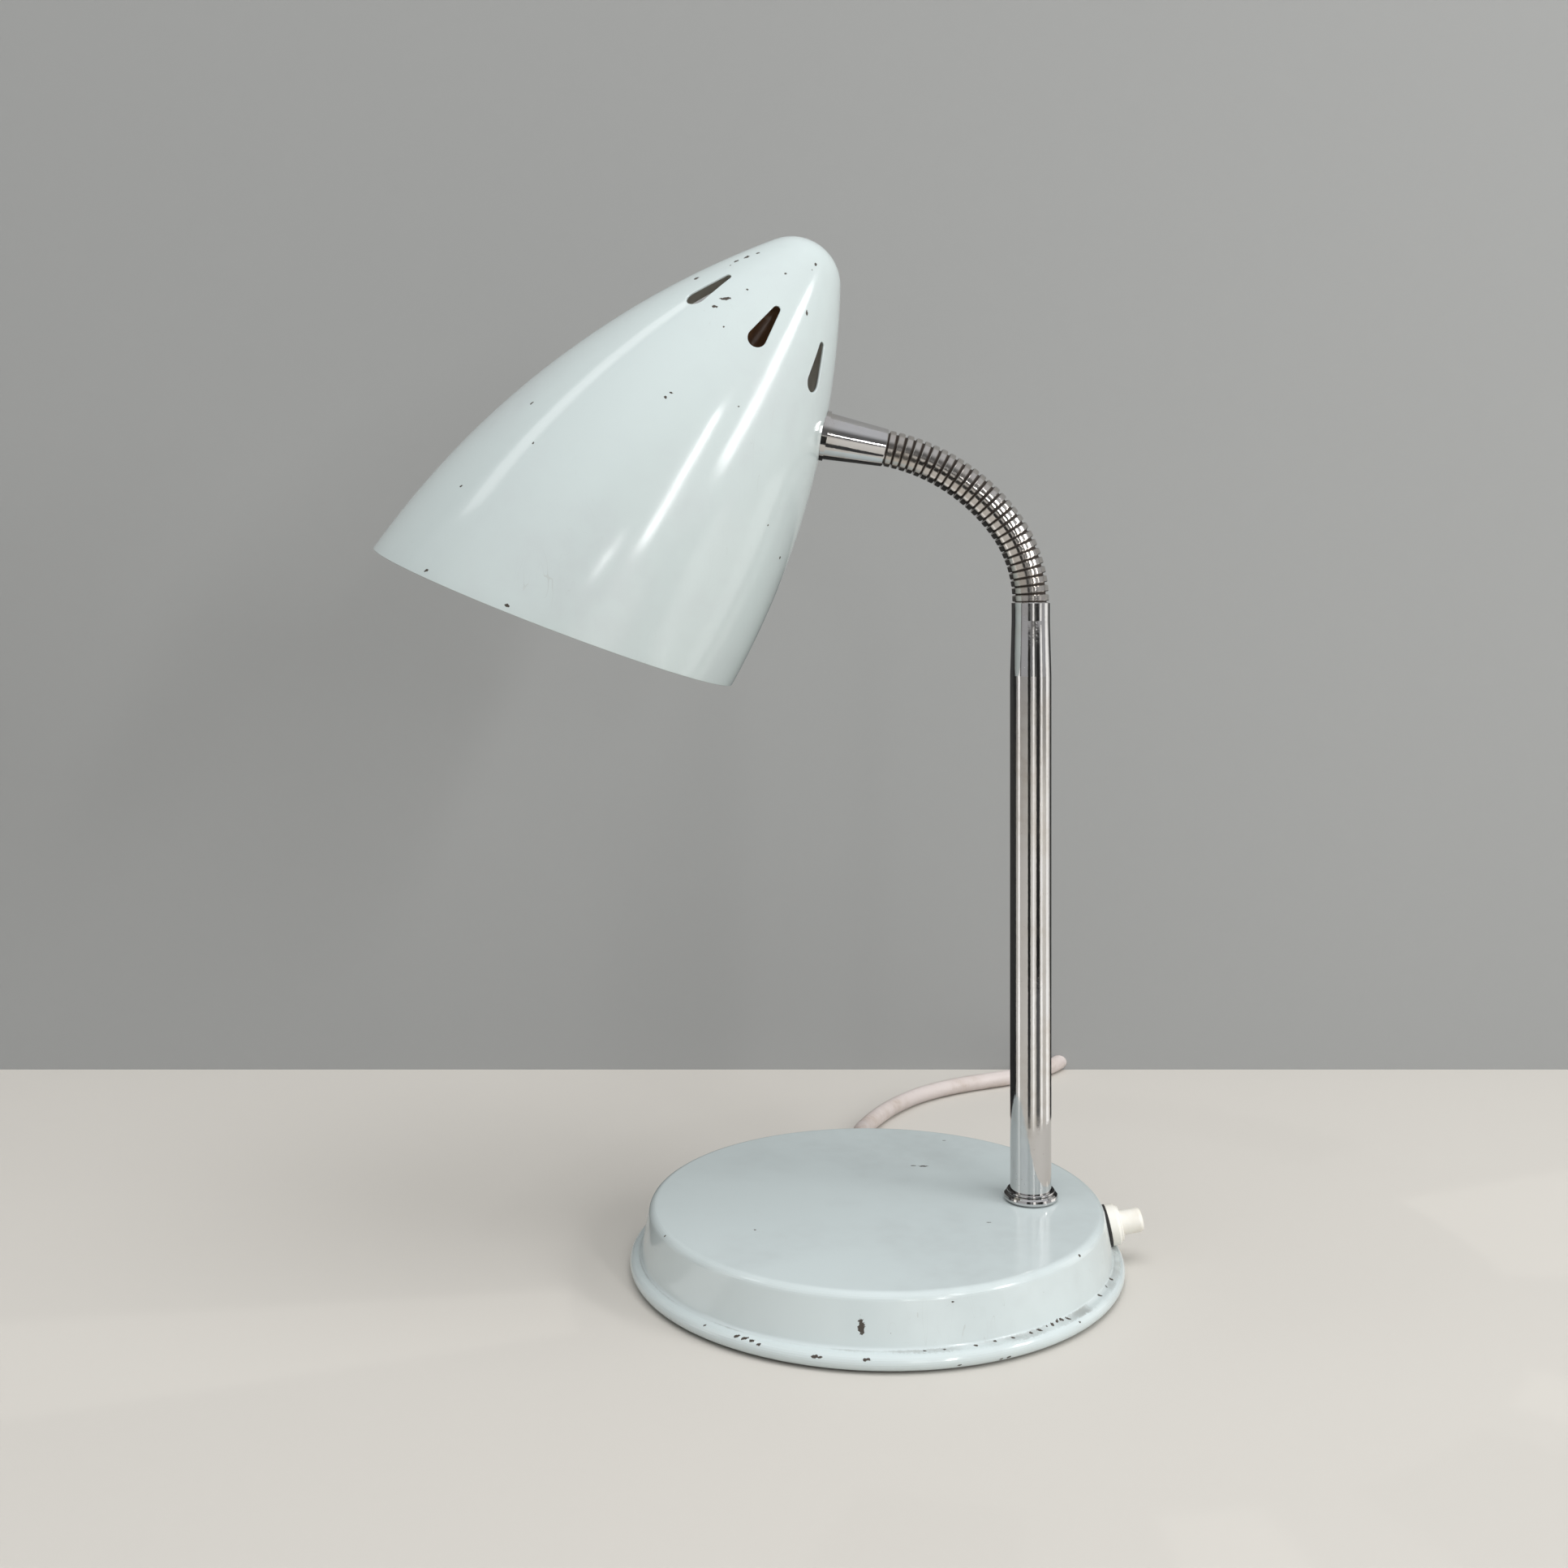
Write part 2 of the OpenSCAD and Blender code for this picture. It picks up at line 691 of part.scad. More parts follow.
// Outline of a vent: round at both ends, narrow towards the nose
module vent_outline() {
  wide_y = vent_start + vent_len - vent_r;
  tip_y = vent_start + vent_tip_r;
  lean = asin((vent_r - vent_tip_r) / (wide_y - tip_y));
  polygon(concat(
    arc([0, wide_y], vent_r, -lean, 180 + lean, 2 * arc_steps),
    arc([0, tip_y], vent_tip_r, 180 + lean, 360 - lean)
  ));
}

module shade() {
  color([0.76, 0.8, 0.8])
    difference() {
      at_shade()
        difference() {
          shade_body(0);
          shade_body(-shade_wall);
          translate([0, 0, shade_len])
            rotate([0, mouth_slant, 0])
              translate([-shade_d, -shade_d, 0])
                cube([2 * shade_d, 2 * shade_d, shade_d]);
          for (i = [0:vent_count - 1])
            rotate([0, 0, 90 - vent_turn + 360 * i / vent_count])
              translate([nose_r / 2, 0, 0])
                rotate([90, 0, 90])
                  linear_extrude(shade_d / 2) vent_outline();
        }
      at_ferrule()
        translate([0, 0, ferrule_len - 3 * over])
          cylinder(d = thread_d + 2 * slide_gap, h = shade_wall + 6 * over);
    }
}

module ferrule() {
  edge = 0.3;
  bore_r = thread_d / 2 + loose;
  rim_z = ferrule_len - ferrule_rim_t;
  color([0.82, 0.82, 0.84])
    difference() {
      at_ferrule()
        spin([
          [bore_r, loose], [ferrule_small_d / 2 - edge, loose], [ferrule_small_d / 2, loose + edge],
          [ferrule_large_d / 2, rim_z], [ferrule_rim_d / 2, rim_z],
          [ferrule_rim_d / 2, ferrule_len + 3], [bore_r, ferrule_len + 3]
        ]);
      at_shade() shade_body(fit);
    }
}

// Lampholder and bulb

module lock_nuts() {
  color([0.72, 0.62, 0.38]) {
    at_ferrule() hex_nut(ferrule_len + shade_wall + nut_sag);
    at_ferrule() hex_nut(ferrule_len + bracket_depth + bracket_t);
    at_shade() hex_nut(flange_s - nut_t);
  }
}

// Distance from the shade's axis at which the bracket's strip, lying at a depth under the
// seat, crosses a station along the axis
function strip_x(depth, s) =
  let (run = (seat_s + depth * sin(seat_slope) - s) / cos(seat_slope))
    seat_r - depth * cos(seat_slope) - run * sin(seat_slope);

module holder_bracket() {
  out = bracket_depth;
  in = bracket_depth + bracket_t;
  low = seat_s + out * sin(seat_slope) + tab_below * cos(seat_slope);
  color([0.66, 0.66, 0.64])
    difference() {
      at_shade()
        rotate([90, 0, 0])
          linear_extrude(bracket_w, center = true)
            polygon([
              [strip_x(out, low), low], [strip_x(out, flange_s), flange_s],
              [-flange_beyond, flange_s], [-flange_beyond, holder_s],
              [strip_x(in, holder_s), holder_s], [strip_x(in, low), low]
            ]);
      at_ferrule()
        translate([0, 0, ferrule_len + bracket_depth - 2 * over])
          cylinder(d = thread_d + 2 * slide_gap, h = bracket_t + 4 * over);
      at_shade()
        translate([0, 0, flange_s - over])
          cylinder(d = thread_d + 2 * slide_gap, h = bracket_t + 2 * over);
    }
}

module holder_sleeve() {
  edge = 2;
  color([0.3, 0.19, 0.12])
    at_shade()
      spin(concat(
        [[thread_d / 2 + slide_gap, holder_s]],
        arc([holder_d / 2 - edge, holder_s + edge], edge, -90, 0),
        [
          [holder_d / 2, holder_s + holder_len], [holder_d / 2 - holder_wall, holder_s + holder_len],
          [holder_d / 2 - holder_wall, holder_s + holder_lip], [thread_d / 2 + slide_gap, holder_s + holder_lip]
        ]
      ));
}

module holder_core() {
  from = holder_s + holder_lip + loose;
  color([0.88, 0.85, 0.78])
    at_shade()
      difference() {
        union() {
          translate([0, 0, from]) cylinder(d = holder_d - 2 * holder_wall - 2 * slide_gap, h = core_len);
          translate([0, 0, flange_s - nut_t - 1]) cylinder(d = thread_d, h = from - flange_s + nut_t + 2);
        }
        translate([0, 0, flange_s - nut_t - 2]) cylinder(d = thread_bore, h = from - flange_s + nut_t + 4);
      }
}

module holder_screw_shell() {
  color([0.78, 0.66, 0.36])
    at_shade()
      tube(2 * (screw_shell_r + screw_shell_t), 2 * screw_shell_r, core_end, core_end + screw_shell_len);
}

module bulb_cap() {
  r = cap_d / 2;
  color([0.8, 0.78, 0.7])
    at_shade()
      spin([
        [0, cap_from - contact_len], [2, cap_from - contact_len], [2.6, cap_from - contact_len + 0.8],
        [2.6, cap_from - 1.5], [r - 1, cap_from], [r, cap_from + 1.2],
        [r, glass_from - skirt_len], [skirt_r, glass_from - skirt_len + 1], [skirt_r, glass_from],
        [0, glass_from]
      ]);
}

function glass_outline(t) = concat(
  arc([throat_r + throat_fillet, throat_s], throat_fillet + t, 180, throat_turn),
  arc([0, globe_s], globe_d / 2 - t, throat_turn - 180, 90, 3 * arc_steps)
);

module bulb_glass() {
  color([0.95, 0.95, 0.9, 0.5])
    at_shade()
      spin(concat(
        [[throat_r, glass_from]], glass_outline(0), reversed(glass_outline(glass_t)),
        [[throat_r - glass_t, glass_from]]
      ));
}

// Switch

module switch_housing() {
  color([0.9, 0.9, 0.87])
    at_switch()
      difference() {
        union() {
          translate([-housing_h / 2, -housing_w / 2, -housing_face - switch_depth])
            cube([housing_h, housing_w, switch_depth]);
          translate([0, 0, -housing_face - over]) cylinder(d = bush_d, h = housing_face + over + bush_out);
        }
        translate([0, 0, -chamber_face - over])
          cylinder(d = button_d + 2 * slide_gap, h = chamber_face + bush_out + 2 * over);
        translate([0, 0, -chamber_end]) cylinder(r = chamber_r, h = chamber_end - chamber_face);
      }
}

module switch_gasket() {
  color([0.08, 0.08, 0.08])
    difference() {
      at_switch() tube(ring_nut_d + gasket_edge, bush_d + 2 * loose, fit, fit + gasket_t);
      base_body(fit / 2);
    }
}

module switch_ring_nut() {
  r = ring_nut_d / 2;
  from = fit + gasket_t;
  to = from + ring_nut_len;
  step = to - nut_lip;
  edge = 0.8;
  color([0.93, 0.93, 0.9])
    at_switch()
      spin([
        [bush_d / 2 + fit, from], [r, from], [r, step], [r - edge, step + edge], [r - edge, to - edge / 2],
        [r - 1.5 * edge, to], [button_d / 2 + slide_gap + loose, to],
        [button_d / 2 + slide_gap + loose, step], [bush_d / 2 + fit, step]
      ]);
}

module switch_button() {
  r = button_d / 2;
  dome = 1.4;
  flange_z = -chamber_face - loose;
  color([0.93, 0.93, 0.9])
    at_switch()
      spin(concat(
        [
          [0, flange_z - button_flange_t], [button_flange_r, flange_z - button_flange_t],
          [button_flange_r, flange_z], [r, flange_z]
        ],
        arc([r - dome, button_tip - dome], dome, 0, 90),
        [[0, button_tip]]
      ));
}

// The spring's wire, worked out along its helix
function spring_point(i, n) =
  let (a = 360 * spring_turns * i / n, rise = spring_to - spring_from - spring_wire)
    [spring_r * cos(a), spring_r * sin(a), spring_from + spring_wire / 2 + rise * i / n];

module switch_spring() {
  n = 12 * spring_turns;
  color([0.7, 0.7, 0.7])
    at_switch() sweep([for (i = [0:n]) spring_point(i, n)], spring_wire / 2, 6);
}

// Wiring in the base

module terminal_block() {
  color([0.85, 0.83, 0.75])
    translate([0, block_y, plate_top])
      difference() {
        translate([-block_w / 2, -block_l / 2, 0]) cube([block_w, block_l, block_h]);
        for (x = [-block_w / 4, block_w / 4])
          translate([x, 0, block_h / 2]) {
            rotate([90, 0, 0]) cylinder(d = lead_d + 0.6, h = block_l + 2 * over, center = true);
            cylinder(d = 3, h = block_h);
          }
      }
}

// The two inner leads lie in the slot and the groove of the weight, which cross at a right
// angle: a place is given by its distance along the slot and towards the stem
lead_z = plate_top + lead_d / 2 + 0.4;
slot_dir = unit(slot_run);
groove_dir = unit([-slot_run[1], slot_run[0]]);
meet_s = ([stem_x, 0] - slot_from) * slot_dir;
meet_g = (slot_from - [stem_x, 0]) * groove_dir;
block_front = block_y - block_l / 2;
front_y = pocket_from + 1.4;
switch_in_x = switch_r - (housing_face + switch_depth) * cos(wall_slope);
switch_in_z = switch_z - (housing_face + switch_depth) * sin(wall_slope);

function lead_point(s, g) = let (q = slot_from + s * slot_dir - g * groove_dir) [q[0], q[1], lead_z];

// The last stretch of a lead, along the groove and up the hollow rod
function to_stem(side) = [
  lead_point(meet_s + 1.25 * side, 3.6), lead_point(meet_s + 1.25 * side, meet_g - 6),
  lead_point(meet_s + 1.25 * side, meet_g - 3.2), [stem_x + 1.1 * side, 1.1 - 0.6 * side, lead_z + 0.4],
  [stem_x + 1.35 * side, 0.3, lead_z + 2.4], [stem_x + 1.4 * side, 0, lead_z + 6],
  [stem_x + 1.4 * side, 0, lead_z + 20], [stem_x + 1.4 * side, 0, stem_top - 4]
];

module inner_leads() {
  block_x = block_w / 4;
  block_z = plate_top + block_h / 2;
  sheath_from = block_y + block_l / 2 + 10;
  side = 1.4;
  color([0.9, 0.9, 0.88])
    translate([0, sheath_from, boot_z])
      rotate([-90, 0, 0])
        cylinder(d = sheath_d, h = boot_end_y - sheath_from);
  color([0.4, 0.25, 0.15])
    sweep([
      [side, sheath_from, boot_z], [side + 1, sheath_from - 3, boot_z], [block_x, sheath_from - 8, block_z],
      [block_x, sheath_from - 14, block_z]
    ], lead_d / 2, 8);
  color([0.2, 0.35, 0.6])
    sweep([
      [-side, sheath_from, boot_z], [-side - 1, sheath_from - 3, boot_z], [-block_x, sheath_from - 8, block_z],
      [-block_x, sheath_from - 14, block_z]
    ], lead_d / 2, 8);
  color([0.2, 0.35, 0.6])
    sweep(concat(
      [
        [-block_x, block_y - 4, block_z], [-block_x, block_front + 0.2, block_z],
        [0.6 - block_x, front_y + 0.5, block_z - 0.3], [2.5 - block_x, front_y, block_z - 1],
        [1, front_y, lead_z + 1], [5, front_y, lead_z + 0.2], [10.8, front_y + 0.1, lead_z],
        [13, front_y + 1.7, lead_z], lead_point(8, 1.6), lead_point(13, 0.7), lead_point(20, 0),
        lead_point(meet_s - 20, 0), lead_point(meet_s - 8, 0), lead_point(meet_s - 4, 0),
        lead_point(meet_s - 2, 1.6)
      ],
      to_stem(-1)
    ), lead_d / 2, 8);
  color([0.4, 0.25, 0.15])
    sweep(concat(
      [
        [switch_in_x - 0.3, 5, switch_in_z - 1.5], [switch_in_x - 1.6, 5.4, switch_in_z - 2.3],
        [switch_in_x - 2, 6.8, lead_z + 1.4], [switch_in_x - 2.2, 8.4, lead_z + 0.2],
        lead_point(meet_s + 2.6, 0.2), lead_point(meet_s + 1.5, 1.2)
      ],
      to_stem(1)
    ), lead_d / 2, 8);
}

// Cord

module cord_boot() {
  color([0.93, 0.93, 0.9])
    difference() {
      union() {
        translate([0, boot_from, boot_z])
          rotate([-90, 0, 0])
            cylinder(d = boot_d, h = boot_end_y - boot_len - boot_from + over);
        translate([0, boot_end_y - boot_len, boot_z])
          rotate([-90, 0, 0])
            cylinder(d1 = boot_d, d2 = boot_end_d, h = boot_len);
        translate([-boot_flange_w / 2, boot_from, plate_top + loose])
          cube([boot_flange_w, boot_flange_t, boot_flange_h]);
      }
      translate([0, boot_from - over, boot_z])
        rotate([-90, 0, 0])
          cylinder(d = cord_d, h = boot_end_y - boot_from + 2 * over);
    }
}

module power_cord() {
  color([0.92, 0.92, 0.89]) sweep(cord_route, cord_d / 2, 10);
}

// The coil spirals in on the surface, climbs a layer in the half turn where it reverses,
// and spirals out on top
function coil_climb(a) = let (f = max(0, min(1, (a - coil_turn / 2) / 180 + 0.5))) f * f * (3 - 2 * f);
function coil_point(a) =
  let (r = coil_in_r + coil_pitch * abs(a - coil_turn / 2) / 360)
    [coil_c[0] + r * cos(a), coil_c[1] + r * sin(a), coil_low + (coil_high - coil_low) * coil_climb(a)];
coil_steps = coil_rings * coil_loops;
coil_points = concat(
  [coil_point(0) - [0, cord_d, 0]],
  [for (i = [0:coil_steps]) coil_point(coil_turn * i / coil_steps)],
  [coil_point(coil_turn) - [cord_d, 0, 0]]
);
function path_length(p) = [for (i = 1, s = norm(p[1] - p[0]); i < len(p);
  i = i + 1, s = s + (i < len(p) ? norm(p[i] - p[i - 1]) : 0)) s][len(p) - 2];
coil_gap = min([for (i = [0:len(coil_points) - 1]) for (k = [i + coil_rings / 2:1:len(coil_points) - 1])
  norm(coil_points[i] - coil_points[k])]) - cord_d;
echo(coil_gap = coil_gap);
echo(cord_length = path_length(cord_route) + path_length(coil_points) + path_length(tail_route));

module cord_coil() {
  color([0.92, 0.92, 0.89]) sweep(coil_points, cord_d / 2, coil_sides);
}

module cord_tie() {
  mid_r = (tie_in + tie_out) / 2;
  half = (tie_out - tie_in) / 2;
  edge = 2;
  color([0.1, 0.1, 0.1])
    translate([coil_c[0], coil_c[1], 0])
      rotate([90, 0, tie_turn])
        translate([mid_r, 0, -tie_w / 2])
          linear_extrude(tie_w)
            difference() {
              strap_outline(half + tie_t, 0, tie_top + tie_t, edge + tie_t);
              strap_outline(half, tie_t, tie_top, edge);
            }
}

// Upright rectangle with round corners
module strap_outline(half, low, high, r) {
  polygon(concat(
    arc([half - r, low + r], r, -90, 0),
    arc([half - r, high - r], r, 0, 90),
    arc([r - half, high - r], r, 90, 180),
    arc([r - half, low + r], r, 180, 270)
  ));
}

module cord_tail() {
  color([0.92, 0.92, 0.89]) sweep(tail_route, cord_d / 2, 10);
}

// The plug lies flat beside the coil, its frame has +Z towards the pins
module at_plug() {
  translate(tail_end)
    rotate([0, -90, 0])
      children();
}

module plug_body() {
  front = plug_sleeve_len + plug_len;
  color([0.92, 0.92, 0.89])
    at_plug()
      difference() {
        union() {
          cylinder(d1 = cord_d + 2, d2 = cord_d + 5, h = plug_sleeve_len + over);
          intersection() {
            rotate([90, 0, 90])
              linear_extrude(plug_t, center = true)
                polygon([
                  [-6, plug_sleeve_len], [6, plug_sleeve_len], [plug_w / 2 - plug_edge, front - 16],
                  [plug_w / 2, front - 13], [plug_w / 2, front - plug_edge], [plug_w / 2 - plug_edge, front],
                  [plug_edge - plug_w / 2, front], [-plug_w / 2, front - plug_edge],
                  [-plug_w / 2, front - 13], [plug_edge - plug_w / 2, front - 16]
                ]);
            rotate([90, 0, 0])
              linear_extrude(plug_w + 2, center = true)
                polygon([
                  [-plug_t / 2 + 1, plug_sleeve_len], [plug_t / 2 - 1, plug_sleeve_len],
                  [plug_t / 2, plug_sleeve_len + 4], [plug_t / 2, front - 1], [plug_t / 2 - 1, front],
                  [1 - plug_t / 2, front], [-plug_t / 2, front - 1], [-plug_t / 2, plug_sleeve_len + 4]
                ]);
          }
        }
        for (y = [-pin_spacing / 2, pin_spacing / 2])
          translate([0, y, front - pin_root_len]) cylinder(d = pin_root_d + 2 * fit, h = pin_root_len + over);
      }
}

module plug_pins() {
  front = plug_sleeve_len + plug_len;
  tip = 1.2;
  color([0.75, 0.72, 0.62])
    at_plug()
      for (y = [-pin_spacing / 2, pin_spacing / 2])
        translate([0, y, front])
          spin([
            [0, fit - pin_root_len], [pin_root_d / 2, fit - pin_root_len], [pin_root_d / 2, 0],
            [pin_d / 2, 0], [pin_d / 2, pin_len - tip], [pin_d / 2 - tip / 2, pin_len - tip / 4],
            [pin_d / 2 - tip, pin_len], [0, pin_len]
          ]);
}

base_pad();
base_plate();
base_screws();
base_weight();
base_shell();
stem_collar();
stem_tube();
stem_rod();
stem_washer();
stem_nut();
neck_root();
for (i = [1:neck_turns - 2])
  neck_turn(i);
neck_end();
ferrule();
shade();
lock_nuts();
holder_bracket();
holder_sleeve();
holder_core();
holder_screw_shell();
bulb_cap();
bulb_glass();
switch_housing();
switch_gasket();
switch_ring_nut();
switch_button();
switch_spring();
terminal_block();
inner_leads();
cord_boot();
power_cord();
cord_coil();
cord_tie();
cord_tail();
plug_body();
plug_pins();
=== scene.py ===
# %% [markdown]
# # A gooseneck desk lamp
# The lamp was drawn in CAD first, so every piece already has its place and size. This script
# loads that model as a fixed frame and gives it its looks. Blender works in metres. The lamp's
# sizes are written in millimetres, as a maker reads them, and those of the stage in metres.

# %% Load the model
import math

import bmesh
import bpy
from mathutils import Matrix, Vector


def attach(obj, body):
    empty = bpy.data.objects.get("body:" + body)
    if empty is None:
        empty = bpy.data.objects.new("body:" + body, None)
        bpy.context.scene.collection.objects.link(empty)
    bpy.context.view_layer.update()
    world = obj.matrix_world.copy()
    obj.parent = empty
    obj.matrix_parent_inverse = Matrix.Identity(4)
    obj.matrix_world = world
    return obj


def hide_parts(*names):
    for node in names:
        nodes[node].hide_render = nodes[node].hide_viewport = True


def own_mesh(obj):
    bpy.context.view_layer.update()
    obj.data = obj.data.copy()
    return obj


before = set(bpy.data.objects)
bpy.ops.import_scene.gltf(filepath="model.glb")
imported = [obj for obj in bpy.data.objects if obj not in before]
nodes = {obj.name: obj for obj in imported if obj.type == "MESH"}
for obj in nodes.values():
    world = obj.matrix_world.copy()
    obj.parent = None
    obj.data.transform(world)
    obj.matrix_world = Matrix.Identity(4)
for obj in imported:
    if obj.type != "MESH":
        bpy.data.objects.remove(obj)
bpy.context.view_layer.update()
MM = 0.001

# %% [markdown]
# ## Camera
# The photograph was taken from about the height of the shade's mouth, with the camera level.
# Its place was worked out from the ellipses of the base. Tilting the camera down would bring
# the base into the picture, but would also make the stem's sides converge. A lens shift, as an
# architect's camera has, lowers the frame and keeps them upright.

# %% Camera
def add(name, data):
    """A new object of the scene."""
    thing = bpy.data.objects.new(name, data)
    bpy.context.scene.collection.objects.link(thing)
    return thing


camera = add("camera", bpy.data.cameras.new("camera"))
camera.location = (-0.030, -0.555, 0.223)
camera.rotation_euler = (math.radians(90), 0, 0)  # level, looking along +Y
camera.data.lens = 38.95
camera.data.sensor_width = 36
camera.data.shift_y = -0.130
bpy.context.scene.camera = camera
print("camera at", [round(v, 3) for v in camera.location])

# %% [markdown]
# ## Cord
# A mains cord is a length of soft plastic-covered flex. It leaves the base low at the back,
# runs over the table, and the length that isn't in use lies in a tied coil. It could be a swept
# mesh, but one curve with a round bevel keeps the same thickness through every bend. The coil
# spirals in on the table, climbs one layer, and spirals out on top.

# %% Cord route
CORD_D = 6.5
COIL_CENTRE = (59.98125, 285)
COIL_IN_R, COIL_PITCH, COIL_LOOPS = 27.8, 6.95, 6.25
COIL_LOW = 4.15  # height of the cord's middle in the lower layer
COIL_STEPS = 300
LAY = [
    (0, 100, 7.4), (0, 106, 7.3), (0.5, 113, 6.2), (1.5, 120, 4.6), (3.5, 128, 3.6),
    (7, 137, 3.3), (12, 147, 3.3), (19, 158, 3.3), (27.5, 168.5, 3.3), (38, 177.5, 3.3),
    (49, 184.5, 3.3), (60, 190, 3.3), (71, 195.5, 3.3), (82, 203, 3.3), (91.5, 213, 3.3),
    (99, 225, 3.3), (104.5, 238, 3.4), (108, 251, 3.7), (109.3, 265, 4.05), (109.5, 278.5, 4.15),
]
TAIL = [(46, 334.5, 11), (36.5, 334.5, 10.2), (27, 334.5, 8.6), (18.5, 334.5, 7.3),
        (12, 334.5, 6.95), (6, 334.5, 6.9)]


def coil_point(turn):
    """A point of the coil, by the angle in degrees that the cord has wound."""
    half = 180 * COIL_LOOPS
    r = COIL_IN_R + COIL_PITCH * abs(turn - half) / 360
    t = max(0, min(1, (turn - half) / 180 + 0.5))
    a = math.radians(turn)
    z = COIL_LOW + COIL_PITCH * t * t * (3 - 2 * t)
    return (COIL_CENTRE[0] + r * math.cos(a), COIL_CENTRE[1] + r * math.sin(a), z)


coil = [coil_point(360 * COIL_LOOPS * i / COIL_STEPS) for i in range(COIL_STEPS + 1)]
print("coil points:", len(coil))

# %% [markdown]
# Before and after the coil, the route is given by a few points. Straight lines between them
# would kink, and a Bezier curve would need its handles placed too. A Catmull-Rom spline needs
# no handles and passes through every point.

# %% Smooth line through points
FINE = 4  # steps between two given points


def smooth_line(points):
    """Points on a smooth curve that passes through all the given ones."""
    p = [Vector(q) for q in points]
    p = [2 * p[0] - p[1]] + p + [2 * p[-1] - p[-2]]
    line = []
    for i in range(1, len(p) - 2):
        for k in range(FINE):
            t = k / FINE
            a, b, c, d = p[i - 1:i + 3]
            line.append(0.5 * (2 * b + (c - a) * t + (2 * a - 5 * b + 4 * c - d) * t * t
                               + (3 * b - a - 3 * c + d) * t ** 3))
    return line + [p[-2]]


route = smooth_line(LAY + coil[:1])[:-1] + [Vector(q) for q in coil] + smooth_line(coil[-1:] + TAIL)[1:]
print("cord length in mm:", round(sum((b - a).length for a, b in zip(route, route[1:])), 1))

# %% Cord curve
flex_data = bpy.data.curves.new("cord", "CURVE")
flex_data.dimensions = "3D"
flex_data.bevel_depth = CORD_D / 2 * MM
flex_data.bevel_resolution = 5
flex_data.use_fill_caps = True
line = flex_data.splines.new("POLY")
line.points.add(len(route) - 1)
for point, place_mm in zip(line.points, route):
    point.co = (*(place_mm * MM), 1)
line.use_smooth = True
flex = add("cord", flex_data)
print("cord points:", len(line.points))


# %% [markdown]
# ## Lofted pieces
# The strain relief and the plug are moulded on the cord. Their sections run from round to
# a soft rectangle, so each is lofted through a row of superellipses. Bevelled boxes would do
# for the plug's body, but not for the way it flows into its sleeve.

# %% Helpers for meshes
def add_mesh(name, mesh):
    """Turns a bmesh into a smooth-shaded object of the scene."""
    bmesh.ops.recalc_face_normals(mesh, faces=mesh.faces)
    data = bpy.data.meshes.new(name)
    mesh.to_mesh(data)
    mesh.free()
    data.shade_smooth()
    print(name, "faces:", len(data.polygons))
    return add(name, data)


def bridge(mesh, a, b, closed=True):
    """Quads between two rows of vertices."""
    n = len(a)
    for i in range(n if closed else n - 1):
        j = (i + 1) % n
        mesh.faces.new((a[i], a[j], b[j], b[i]))


# %% Loft
def loft(name, start, along, across, sections, sides=48):
    """A closed form through sections: distance, half width, half height and squareness."""
    mesh = bmesh.new()
    up = along.cross(across)
    rows = []
    for distance, width, height, square in sections:
        row = []
        for i in range(sides):
            c, s = math.cos(2 * math.pi * i / sides), math.sin(2 * math.pi * i / sides)
            x = math.copysign(abs(c) ** (2 / square), c) * width
            y = math.copysign(abs(s) ** (2 / square), s) * height
            row.append(mesh.verts.new((start + along * distance + across * x + up * y) * MM))
        rows.append(row)
    for a, b in zip(rows, rows[1:]):
        bridge(mesh, a, b)
    mesh.faces.new(rows[0])
    mesh.faces.new(rows[-1])
    return add_mesh(name, mesh)


# %% [markdown]
# ## Strain relief
# Where the cord leaves the base, a tapered sleeve keeps it from kinking. Such a sleeve has rings
# moulded round it, which let it bend a little. Rings put on one by one would meet the sleeve in
# sharp creases, so they are a soft wave in the loft's radius.

# %% Strain relief
ROUND = 2  # squareness of a circle
BOOT_Z, BOOT_FROM, BOOT_END = 7.4, 76, 100
BOOT_R, BOOT_NARROWS = 4.6, 0.75
RIBS_FROM, RIBS_LEN, RIB_PITCH, RIB_DEPTH, RIB_STEPS = 76.3, 23, 2.875, 0.28, 72


def ribbing(distance, pitch, depth):
    """How far a ringed sleeve is below its full radius."""
    return depth * (0.5 - 0.5 * math.cos(2 * math.pi * distance / pitch))


boot_sections = [(70.6, 6.4, 4.4, 5), (70.9, 7, 4.9, 5), (72.3, 7, 4.9, 5), (72.6, 6.4, 4.4, 5),
                 (72.7, BOOT_R, BOOT_R, ROUND), (BOOT_FROM, BOOT_R, BOOT_R, ROUND)]
for i in range(RIB_STEPS + 1):
    y = RIBS_FROM + RIBS_LEN * i / RIB_STEPS
    r = BOOT_R - BOOT_NARROWS * (y - BOOT_FROM) / (BOOT_END - BOOT_FROM)
    rib = ribbing(y - RIBS_FROM, RIB_PITCH, RIB_DEPTH) if i < RIB_STEPS else 0
    boot_sections.append((y, r - rib, r - rib, ROUND))
boot_sections += [(99.7, 3.8, 3.8, ROUND), (BOOT_END, 3.5, 3.5, ROUND)]
boot = loft("strain_relief", Vector((0, 0, BOOT_Z)), Vector((0, 1, 0)), Vector((1, 0, 0)), boot_sections)

# %% [markdown]
# ## Plug
# A two-pin plug is moulded in one piece with its cord: a ringed sleeve that widens into a flat
# body, with a rounded edge round its face. One loft makes both, with sections that go from round
# to nearly square, so no seam shows between them. The two pins are the CAD's own.

